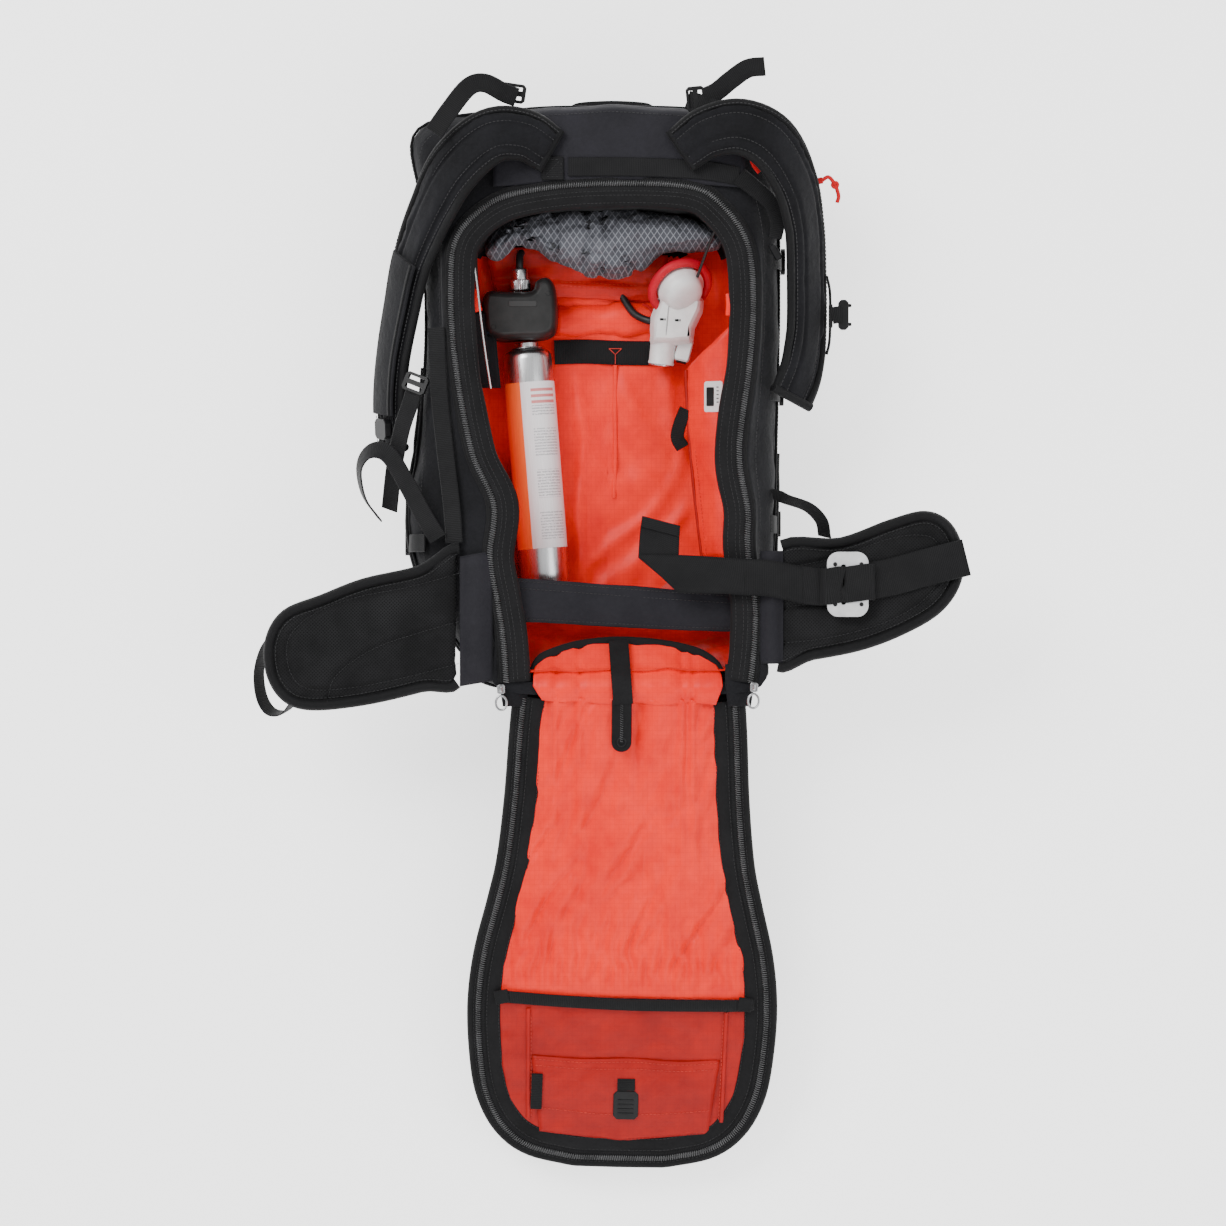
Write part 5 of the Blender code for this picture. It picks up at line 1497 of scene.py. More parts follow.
# ---------------------------------------------------------------- cloth at the fold
def build_fold_cloth():
    """The pocket's arched mouth, which runs over the fold, and the red ramp below it."""
    face = PANEL_FACE
    arch = resample(spline([
        (-0.083, -0.301, 0.156), (-0.0822, -0.285, 0.152), (-0.077, -0.274, 0.147), (-0.066, -0.267, 0.142),
        (-0.035, -0.2575, 0.136), (0.0073, -0.2535, 0.134), (0.05, -0.2565, 0.136), (0.085, -0.2635, 0.14),
        (0.105, -0.274, 0.146), (0.114, -0.287, 0.152), (0.116, -0.301, 0.156)], 8), 81)
    half = float(np.interp(0.012, *np.array(PANEL_SHAPE).T)) - 0.0275
    near = moved([(half * s, -0.012, face + pocket_height(half * s, 0.012, half)) for s in np.linspace(-1,
            1, 81)],
                 PANEL)
    rows = []
    for t in np.linspace(0, 1, 26):
        bulge = 0.006 * math.sin(math.pi * t)
        rows.append(arch * (1 - t) + near * t + (0, 0, bulge))

    def slack(x, y, z):
        x = x - 0.018
        folds = sum(0.003 * math.exp(-((x - at) / 0.0042) ** 2) for at, _ in PLEATS)
        return 0.0016 * fractal(x * 1.6, y * 0.6, z, 0.04, 3, 121.0) + folds

    curving, side_drop, rounding = 36.0, 0.006, 0.0055
    for row in rows:
        inside = np.clip((0.11 - np.abs(row[:, 0] - FOLD_MIDDLE_X)) / 0.016, 0.0, 1.0)
        crest = RIM_CREST_Z - curving * (row[:, 1] - RIM_MIDDLE_Y) ** 2 - side_drop * (1.0 - inside)
        above = row[:, 2] - crest
        row[:, 2] = crest + (above + np.sqrt(above ** 2 + rounding ** 2)) / 2
    cloth = thicken(surface("pocket_mouth_cloth", ruffle(rows, slack), angle=80), 0.0009)
    hinged(cloth, RED_LINING, "red_lining", ("pack", "back_panel"), FOLD_START, FOLD_END)
    trim = strap("pocket_mouth_binding", arch + (0, 0, 0.001), 0.0095, 0.0024, crown=0.0006)
    piece(trim, RIM_CLOTH, "black_fabric", "pack")
    middle = [row[38] + (-0.0015, 0, 0.0072) for row in rows]
    flap = strap("pocket_zip_flap_high", spline(middle, 2), 0.021, 0.0016, crown=0.0006)
    hinged(flap, RIM_CLOTH, "black_fabric", ("pack", "back_panel"), FOLD_START, FOLD_END)

    rows = []
    for y, z, left, right in ((-0.17, 0.043, -0.105, 0.122), (-0.2, 0.053, -0.106, 0.13),
                              (-0.225, 0.068, -0.103, 0.136), (-0.243, 0.093, -0.1, 0.137),
                              (-0.256, 0.108, -0.098, 0.136), (-0.275, 0.119, -0.096, 0.134),
                              (-0.292, 0.126, -0.096, 0.134)):
        rows.append([(x, y, z + 0.01 * ((x - 0.016) / 0.12) ** 4) for x in np.linspace(left, right, 7)])

    def ramp_slack(x, y, z):
        return 0.004 * fractal(x, y, z, 0.05, 4, 123.0) + 0.003 * (crease(x, y, z, 0.06, 125.0) - 0.6)

    cloth_patch("cavity_ramp", rows, 8, ramp_slack, SHADE_LINING, "red_lining")
    for side, x, y in (("left", -0.101, -0.3), ("right", 0.136, -0.3)):
        rows = [[(x - 0.017, y + 0.022, 0.164), (x, y + 0.022, 0.161), (x + 0.016, y + 0.018, 0.15)],
                [(x - 0.017, y + 0.006, 0.166), (x, y + 0.006, 0.163), (x + 0.014, y + 0.004, 0.154)],
                [(x - 0.016, y - 0.008, 0.165), (x, y - 0.008, 0.162), (x + 0.012, y - 0.008, 0.156)],
                [(x - 0.014, y - 0.022, 0.16), (x, y - 0.022, 0.158), (x + 0.01, y - 0.022, 0.154)]]
        fine = spline(np.swapaxes(spline(rows, 6), 0, 1), 6)
        gusset = thicken(surface("fold_gusset_" + side, fine, angle=80), 0.002)
        hinged(gusset, BLACK_FABRIC, "black_fabric", ("pack", "back_panel"), (x, -0.294, 0.162),
               (x, -0.318, 0.16))
    rows = []
    for y, z in ((-0.294, 0.07), (-0.3, 0.1), (-0.303, 0.125), (-0.306, 0.14), (-0.313, 0.146),
                 (-0.324, 0.143)):
        rows.append([(x, y, z) for x in np.linspace(-0.104, 0.14, 12)])
    fine = spline(rows, 4)
    flap = thicken(surface("fold_outer_cloth", fine, angle=80), 0.0018)
    hinged(flap, BLACK_FABRIC, "black_fabric", ("pack", "back_panel"), (0.018, -0.308, 0.15),
           (0.018, -0.326, 0.15))


# ---------------------------------------------------------------- hip belt
HIP_LEFT = [
    (-0.156, -0.157), (-0.205, -0.176), (-0.262, -0.189), (-0.306, -0.206), (-0.345, -0.222),
    (-0.363, -0.25), (-0.363, -0.286), (-0.347, -0.314), (-0.318, -0.325), (-0.262, -0.32),
    (-0.2, -0.306), (-0.156, -0.292)]
HIP_RIGHT = [
    (0.169, -0.278), (0.212, -0.272), (0.262, -0.262), (0.305, -0.246), (0.343, -0.224),
    (0.364, -0.196), (0.369, -0.163), (0.356, -0.131), (0.33, -0.118), (0.292, -0.127),
    (0.24, -0.146), (0.169, -0.157)]
HIP_CHANNELS = {
    "left": [((-0.15, -0.23), (-0.2, -0.244), (-0.251, -0.262), (-0.29, -0.29), (-0.3, -0.32)),
             ((-0.15, -0.179), (-0.21, -0.196), (-0.27, -0.208), (-0.315, -0.226), (-0.34, -0.252),
              (-0.338, -0.286), (-0.318, -0.304), (-0.27, -0.302), (-0.21, -0.29), (-0.15, -0.274))],
    "right": [((0.17, -0.256), (0.215, -0.252), (0.262, -0.242), (0.3, -0.228), (0.332, -0.206),
               (0.347, -0.175), (0.34, -0.148), (0.318, -0.142), (0.285, -0.148), (0.235, -0.166),
               (0.17, -0.179)),
              ((0.18, -0.218), (0.25, -0.208), (0.31, -0.19), (0.344, -0.17))],
}


def build_hip_wing(side, outline, root_x):
    body = "hip_wing_" + side
    ring = spline(outline, 6, True)
    sign = -1 if side == "left" else 1
    ring[:, 0] = np.where(sign * (ring[:, 0] - root_x) < 0, root_x, ring[:, 0])
    inward = 1 if np.sum(ring[:, 0] * np.roll(ring[:, 1], -1) - ring[:, 1] * np.roll(ring[:, 0],
            -1)) < 0 else -1
    rings = [lift(offset(ring, inward * inset, True), z) for inset, z in (
        (0.008, HIP_LOW + 0.0022), (0.004, HIP_LOW + 0.0045), (0.0035, HIP_TOP - 0.006),
        (0.007, HIP_TOP - 0.0038))]
    if inward < 0:
        rings = rings[::-1]
    pad = puff(surface("hip_pad_" + side + "_cloth", rings, wrap=True, caps=True), 0.005, 0.0045)
    channels = [resample(spline(line, 8), 120) for line in HIP_CHANNELS[side]]

    def sewn(p, n):
        if n.z < 0.2:
            return n * 0.0006 * fractal(*p, 0.03, 2, 131.0)
        deep = math.exp(-(away_from(channels, p.x, p.y) / 0.0032) ** 2)
        return Vector((0, 0, -0.0042 * deep)) + n * (0.0009 * fractal(*p, 0.028, 3, 133.0))

    shape_points(pad, sewn)
    piece(pad, PAD_MESH, "mesh_fabric", body, "hip_pad_" + side)
    pad.data.materials.append(BLACK_FABRIC)
    for face in pad.data.polygons:
        face.material_index = int(face.normal.z < -0.1)
    middle = (HIP_LOW + HIP_TOP) / 2 - 0.0004
    outer = ring[sign * (ring[:, 0] - root_x) > 0.0005]
    start = int(np.argmax(np.linalg.norm(np.roll(outer, 1, axis=0) - outer, axis=1)))
    outer = np.roll(outer, -start, axis=0)
    edge = offset(outer, inward * 0.0042)
    trim = sweep("hip_binding_" + side, lift(edge, middle), round_section(0.0058, 0.0064, 14))
    piece(trim, BINDING, "black_webbing", body)
    threads = []
    for line in channels:
        rows = np.column_stack([line, np.full(len(line), HIP_TOP - 0.0022)])
        for k, p in enumerate(rows):
            hit, place, _, _ = pad.ray_cast(Vector((p[0], p[1], 0.2)), Vector((0, 0, -1)))
            rows[k][2] = place.z + 0.0002 if hit else p[2]
        threads.append(rows)
    threads.append(lift(offset(outer, inward * 0.0115), HIP_TOP - 0.0012))
    piece(stitches("hip_stitching_" + side, threads), THREAD, "black_fabric", body)


def build_hip_roots():
    """Smooth cloth that joins each wing to the pack across its fold."""
    for side, inner, outer, low_y, high_y in (("left", -0.126, -0.16, -0.295, -0.159),
                                              ("right", 0.156, 0.18, -0.277, -0.159)):
        rows = []
        for t in np.linspace(0, 1, 16):
            x = inner * (1 - t) + outer * t
            drop = -0.006 * t if side == "left" else 0.0
            z = 0.1672 + 0.0058 * math.sin(math.pi * min(1.0, t * 1.1)) + 0.0012 * t
            rows.append([(x, y + drop, z + 0.0008 * fractal(x, y, 0, 0.03, 3,
                                                            141.0) - 0.004 * abs(2 * s - 1) ** 8)
                         for s, y in ((s, low_y * (1 - s) + high_y * s) for s in np.linspace(0, 1, 40))])
        cloth = thicken(surface("hip_root_" + side, rows, angle=80), 0.0022)
        pivot_x = -0.153 if side == "left" else 0.1665
        reach = 0.005 if side == "left" else -0.005
        hinged(cloth, BLUISH_FABRIC, "black_fabric", ("pack", "hip_wing_" + side),
               (pivot_x + reach, -0.22, 0.1715), (pivot_x - reach, -0.22, 0.1715))


def ribbon(name, first, second, thick=0.0018, columns=9):
    """Flat webbing between its two edges, given as lists of points."""
    a = resample(spline(first, 6), 40)
    b = resample(spline(second, 6), 40)
    rows = [[p * (1 - t) + q * t for t in np.linspace(0, 1, columns)] for p, q in zip(a, b)]
    return thicken(surface(name, rows, angle=70), thick)


def round_box(x, y, wide, tall, corner):
    """Clockwise outline of a rounded box, 40 points."""
    points = []
    for k, (sx, sy) in enumerate(((1, 1), (-1, 1), (-1, -1), (1, -1))):
        for a in np.linspace(0, math.pi / 2, 10):
            turn = a + k * math.pi / 2
            points.append((x + sx * (wide / 2 - corner) + corner * math.cos(turn),
                           y + sy * (tall / 2 - corner) + corner * math.sin(turn)))
    return np.array(points)[::-1]


def build_hip_webbing():
    top = HIP_TOP + 0.0035
    tail = ribbon("hip_strap_tail", [(0.142, -0.1675, 0.1795), (0.107, -0.165, 0.179),
                                     (0.066, -0.163, 0.1785),
                                     (0.027, -0.163, 0.178)],
                  [(0.142, -0.2055, 0.1795), (0.115, -0.204, 0.179), (0.09, -0.2035, 0.1785),
                   (0.069, -0.203, 0.178)])
    leg = ribbon("hip_strap_turned_end", [(0.0275, -0.166, 0.1762), (0.029, -0.142, 0.1775),
                                          (0.0315, -0.123, 0.178)],
                 [(0.069, -0.201, 0.1762), (0.07, -0.165, 0.177), (0.071, -0.1335, 0.178)])
    hem = ribbon("hip_strap_hem", [(0.03, -0.1335, 0.1798), (0.0316, -0.1222, 0.1798)],
                 [(0.0706, -0.144, 0.1798), (0.0715, -0.1326, 0.1798)], 0.0022)
    for part, replaced in ((tail, ("hip_webbing_tail",)), (leg, ()), (hem, ())):
        piece(part, WEBBING, "black_webbing", "pack", *replaced)
        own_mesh(part)
    bridge = ribbon("hip_strap_bridge", [(0.139, -0.1675, 0.1795), (0.165, -0.1685, 0.18),
                                         (0.2, -0.1755, 0.1795)],
                    [(0.139, -0.2055, 0.1795), (0.165, -0.207, 0.18), (0.2, -0.2145, 0.1795)])
    hinged(bridge, WEBBING, "black_webbing", ("pack", "hip_wing_right"), (0.156, -0.19, 0.18),
           (0.178, -0.19, 0.18))
    inner = spline([(0.197, -0.1945, 0.1795), (0.215, -0.1965, top + 0.004), (0.23, -0.1965, top + 0.0058),
                    (0.2425, -0.1955, top + 0.007)], 6)
    piece(strap("hip_strap_inner", inner, WEB_WIDE, 0.0019), WEBBING, "black_webbing", "hip_wing_right",
          "hip_webbing_inner")
    outer = spline([(0.372, -0.1655, top - 0.001), (0.33, -0.176, top), (0.29, -0.187, top + 0.0005),
                    (0.26, -0.1915, top + 0.004), (0.244, -0.194, top + 0.0062)], 6)
    piece(strap("hip_strap_outer", outer, WEB_WIDE, 0.0019), WEBBING, "black_webbing", "hip_wing_right",
          "hip_webbing_outer")
    low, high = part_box("hip_buckle_plate")
    over = high.z + 0.0013
    turns = []
    for inner_x, edge_x, edge_y in ((0.241, low.x, -0.1962), (0.2438, high.x, -0.1915)):
        outwards = math.copysign(1.0, edge_x - inner_x)
        run = [(inner_x, -0.1943, high.z - 0.0022), (inner_x + 0.0008 * outwards, -0.1943, over - 0.0006),
               (inner_x + 0.0034 * outwards, -0.1942, over), (edge_x - 0.002 * outwards, edge_y, over),
               (edge_x + 0.0024 * outwards, edge_y, over - 0.0012),
               (edge_x + 0.0062 * outwards, edge_y, over - 0.0044)]
        turns.append(strap("turn", spline(run, 5), 0.038, 0.0018))
    piece(merge("hip_strap_turn", turns), WEBBING, "black_webbing", "hip_buckle")
    outer = round_box((low.x + high.x) / 2, (low.y + high.y) / 2, high.x - low.x, high.y - low.y, 0.012)
    slot = round_box(0.2423, -0.1943, 0.0046, 0.042, 0.0018)
    rings = [lift(outer, low.z), lift(outer, high.z - 0.0008), lift(offset(outer, 0.0008, True), high.z),
             lift(offset(slot, -0.0008, True), high.z), lift(slot, high.z - 0.0008), lift(slot, low.z),
             lift(outer, low.z)]
    plate = surface("hip_buckle_detailed", rings, wrap=True, angle=50)
    piece(plate, PALE_PLATE, "steel", "hip_buckle", "hip_buckle_plate")
    studs = []
    for x, y in ((low.x + 0.0085, high.y - 0.013), (low.x + 0.0085, low.y + 0.013),
                 (high.x - 0.0075, high.y - 0.013), (high.x - 0.0075, low.y + 0.013)):
        spot = Matrix.Translation((x, y, high.z - 0.0001)) @ Matrix.Rotation(math.pi / 2, 4, "X")
        studs.append(turned("stud", [(0.0004, 0.0), (0.0022, 0.0), (0.0022, 0.0006), (0.0014, 0.0011),
                                     (0.0003, 0.0012)],
                            spot, 20))
    piece(merge("hip_buckle_studs", studs), BLACK_PLASTIC, "black_plastic", "hip_buckle")

    tip = spline([(-0.34, -0.232, 0.152), (-0.352, -0.242, 0.144), (-0.366, -0.258, 0.139),
                  (-0.3735, -0.285, 0.136), (-0.371, -0.312, 0.135), (-0.361, -0.328, 0.138),
                  (-0.346, -0.329, 0.145), (-0.336, -0.318, 0.153)], 5)
    loop = sweep("hip_tip_loop", tip, flat_section(0.0018, 0.018), (-0.5, -0.3, 0.8))
    piece(loop, WEBBING, "black_webbing", "hip_wing_left", "hip_tip_loop_left")
    inner = [(-0.175, -0.232, 0.153), (-0.23, -0.24, 0.153), (-0.3, -0.262, 0.153), (-0.345, -0.285, 0.153)]
    piece(strap("hip_under_webbing_left", spline(inner, 6), 0.032, 0.0018, (0, 0, -1)), WEBBING,
          "black_webbing",
          "hip_wing_left")
    inner = [(0.185, -0.215, 0.153), (0.24, -0.208, 0.153), (0.3, -0.188, 0.153), (0.352, -0.166, 0.153)]
    piece(strap("hip_under_webbing_right", spline(inner, 6), 0.032, 0.0018, (0, 0, -1)), WEBBING,
          "black_webbing",
          "hip_wing_right")


# ---------------------------------------------------------------- shoulder straps
LEFT_ROUTE = [
    (-0.066, 0.262, 0.1745), (-0.092, 0.276, 0.186), (-0.128, 0.274, 0.192), (-0.165, 0.243, 0.183),
    (-0.19, 0.2, 0.163), (-0.211, 0.15, 0.139), (-0.222, 0.1, 0.121), (-0.231, 0.05, 0.108),
    (-0.235, 0.005, 0.099), (-0.234, -0.045, 0.092)]
RIGHT_ROUTE = [
    (0.074, 0.262, 0.1745), (0.1, 0.279, 0.186), (0.135, 0.284, 0.192), (0.168, 0.268, 0.186),
    (0.192, 0.23, 0.168), (0.203, 0.185, 0.146), (0.206, 0.13, 0.131), (0.206, 0.075, 0.126),
    (0.201, 0.035, 0.13), (0.19, 0.004, 0.137)]
SHOULDERS = {
    "left": (LEFT_ROUTE, (0, 5, 10, 25, 42, 52, 57, 60, 60, 60), -1,
             (0.05, 0.058, 0.064, 0.066, 0.064, 0.06, 0.056)),
    "right": (RIGHT_ROUTE, (0, 5, 10, 25, 42, 50, 50, 48, 40, 30), 1,
              (0.05, 0.058, 0.064, 0.066, 0.064, 0.06, 0.052)),
}


def strap_ups(count, tilts, sideways):
    """Face direction of a strap at each point: straight up, leaning outwards by the tilt."""
    angles = np.radians(np.interp(np.linspace(0, 1, count), np.linspace(0, 1, len(tilts)), tilts))
    return np.stack([sideways * np.sin(angles), np.full(count, 0.05), np.cos(angles)], 1)


def shoulder_lines(side, steps=6):
    """Middle line, across, outwards and width of a shoulder strap at each of its points."""
    route, tilts, mirror, widths = SHOULDERS[side]
    path = spline(route, steps)
    ups = strap_ups(len(path), tilts, mirror)
    along = tangents(path)
    across = unit(np.cross(along, ups))
    out = np.cross(across, along)
    wide = np.interp(np.linspace(0, 1, len(path)), np.linspace(0, 1, len(widths)), widths)
    return path, across, out, wide


def build_shoulder(side):
    body = "shoulder_" + side
    path, across, out, wide = shoulder_lines(side)
    half = wide[:, None] / 2
    rows = []
    for p, s, f, h in zip(path, across, out, half[:, 0] - 0.0035):
        section = [(-1, 0), (-0.92, 0.0042), (-0.4, 0.005), (0.4, 0.005), (0.92, 0.0042), (1, 0),
                   (0.92, -0.0042), (0.4, -0.005), (-0.4, -0.005), (-0.92, -0.0042)]
        rows.append([p + s * h * u + f * v for u, v in section])
    pad = puff(surface("shoulder_pad_" + side, rows, wrap=True, caps=True), 0.0048, 0.0034)
    line = np.array(path)
    outs = np.array(out)

    def local(p):
        near = int(np.argmin(np.sum((line - np.array(p)) ** 2, axis=1)))
        return near, float(np.dot(np.array(p) - line[near], across[near]))

    def ribs(p, n):
        near, side_at = local(p)
        facing = float(np.dot(np.array(n), outs[near]))
        lines = 0.0
        if facing > 0.3:
            for share in (-0.52, 0.36):
                lines = max(lines, math.exp(-((side_at - share * wide[near] / 2) / 0.0022) ** 2))
        return n * (0.0007 * fractal(*p, 0.03, 3, 151.0) - 0.0022 * lines)

    shape_points(pad, ribs)
    piece(pad, BLACK_FABRIC, "black_fabric", body, "shoulder_strap_" + side)
    pad.data.materials.append(PAD_MESH)
    for face in pad.data.polygons:
        near, _ = local(face.center)
        face.material_index = int(float(np.dot(np.array(face.normal), outs[near])) < -0.25)
    trims = []
    for sign in (-1, 1):
        edge = path + across * (half - 0.0044) * sign
        trims.append(sweep("trim", edge, round_section(0.0044, 0.0046, 12), out))
    for end in (0, len(path) - 1):
        rim = np.array([path[end] + across[end] * half[end] * t * 0.97 for t in np.linspace(-1, 1, 9)])
        trims.append(sweep("trim", rim, round_section(0.0048, 0.0056, 12), out[end]))
    piece(merge("shoulder_binding_" + side, trims), BINDING, "black_webbing", body)
    threads = [path + across * half * share + out * 0.0072 for share in (-0.8, 0.8)]
    threads += [path + across * half * share + out * 0.0058 for share in (-0.46, 0.42)]
    _, tilts, sideways, _ = SHOULDERS[side]
    blocks = []
    for thread in threads:
        places = resample(thread, max(4, int(travelled(thread)[-1] / STITCH_PITCH)))
        mid = strap_ups(len(places), tilts, sideways)
        for k in range(1, len(places) - 1):
            step = unit(places[k + 1] - places[k - 1]) * 0.0014
            blocks.append(strap("thread", [places[k] - step, places[k] + step], 0.0008, 0.0007,
                                tuple(mid[k])))
    piece(merge("shoulder_stitching_" + side, blocks), THREAD, "black_fabric", body)


def build_shoulder_fittings():
    path, across, out, _ = shoulder_lines("left")
    part = slice(30, 51)
    face = path[part] + out[part] * 0.0102
    flap = sweep("handle_pocket_cloth", face, [flat_section(w, 0.0026, 0.003) for w in
                                               0.046 * np.ones(len(face))], out[part])
    piece(flap, BLACK_FABRIC, "black_fabric", "shoulder_left", "handle_pocket")
    side_zip = path[part] + out[part] * 0.0128 - across[part] * 0.0165
    piece(sweep("handle_pocket_zip", side_zip, flat_section(0.005, 0.0016), out[part]), BINDING,
          "black_webbing",
          "shoulder_left")
    grip = refined("trigger_handle", 0.001, "release_grip", 3)
    piece(grip, BLACK_PLASTIC, "black_plastic", "trigger_grip", "trigger_handle")

    clip = refined("sternum_clip", 0.0006, "sternum_clip_detailed", 3)
    piece(clip, BLACK_PLASTIC, "black_plastic", "sternum_clip_body", "sternum_clip")
    buckle = refined("sternum_buckle", 0.001, "sternum_buckle_detailed", 3)
    piece(buckle, BLACK_PLASTIC, "black_plastic", "sternum_buckle_body", "sternum_buckle")
    low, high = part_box("sternum_buckle")
    prongs = [rounded_plate("prong", 0.0036, 0.012, 0.0022, 0.0012,
                            Matrix.Translation((high.x - 0.0028, y, (low.z + high.z) / 2 - 0.0011))
                            @ Matrix.Rotation(math.radians(90), 4, "Z")) for y in (low.y + 0.006,
                                    high.y - 0.006)]
    piece(merge("sternum_buckle_prongs", prongs), BLACK_PLASTIC, "black_plastic", "sternum_buckle_body")
    low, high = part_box("sternum_clip")
    rail = spline([(high.x - 0.0062, low.y - 0.028, high.z - 0.006),
                   (high.x - 0.003, low.y - 0.01, low.z + 0.003),
                   (high.x - 0.0026, high.y + 0.01, low.z + 0.003),
                   (high.x - 0.0062, high.y + 0.03, high.z - 0.003)], 5)
    piece(cord_mesh("sternum_rail", rail, 0.0015), BINDING, "black_webbing", "shoulder_right")
    web = spline([(high.x - 0.001, (low.y + high.y) / 2, high.z + 0.0012),
                  (high.x + 0.003, 0.0925, high.z + 0.0018),
                  (0.2415, 0.093, 0.1178), (0.244, 0.093, 0.1172)], 5)
    piece(strap("sternum_web", web, 0.018, 0.0016), WEBBING, "black_webbing", "sternum_clip_body")
    anchor = spline([(0.207, 0.229, 0.142), (0.214, 0.2315, 0.1405), (0.2225, 0.2335, 0.139)], 5)
    piece(strap("pocket_pull_anchor", anchor, 0.007, 0.0014), RED_WEB, "red_cord", "shoulder_right")

    cord = [(0.2215, 0.233, 0.1385), (0.229, 0.237, 0.138), (0.236, 0.229, 0.134), (0.24, 0.218, 0.129),
            (0.2385, 0.211, 0.127)]
    run = spline(cord, 5)
    pull = cord_mesh("pocket_pull_cord", run, 0.0021)
    piece(pull, RED_WEB, "red_cord", "pocket_pull", "pocket_pull_right")
    knot = [run[10] + (0.0028 * math.cos(a), 0.0028 * math.sin(a), 0.0016 * math.sin(2 * a))
            for a in np.linspace(0, 2 * math.pi * 1.6, 30)]
    tied = cord_mesh("pocket_pull_knot", knot, 0.0018)
    piece(tied, RED_WEB, "red_cord", "pocket_pull")
    red = strap("shoulder_red_tab", spline([(0.147, 0.258, 0.176), (0.15, 0.248, 0.174),
                                            (0.156, 0.24, 0.17)], 5), 0.009, 0.0016, (0.2, 0, 1))
    piece(red, RED_WEB, "red_cord", "shoulder_right")


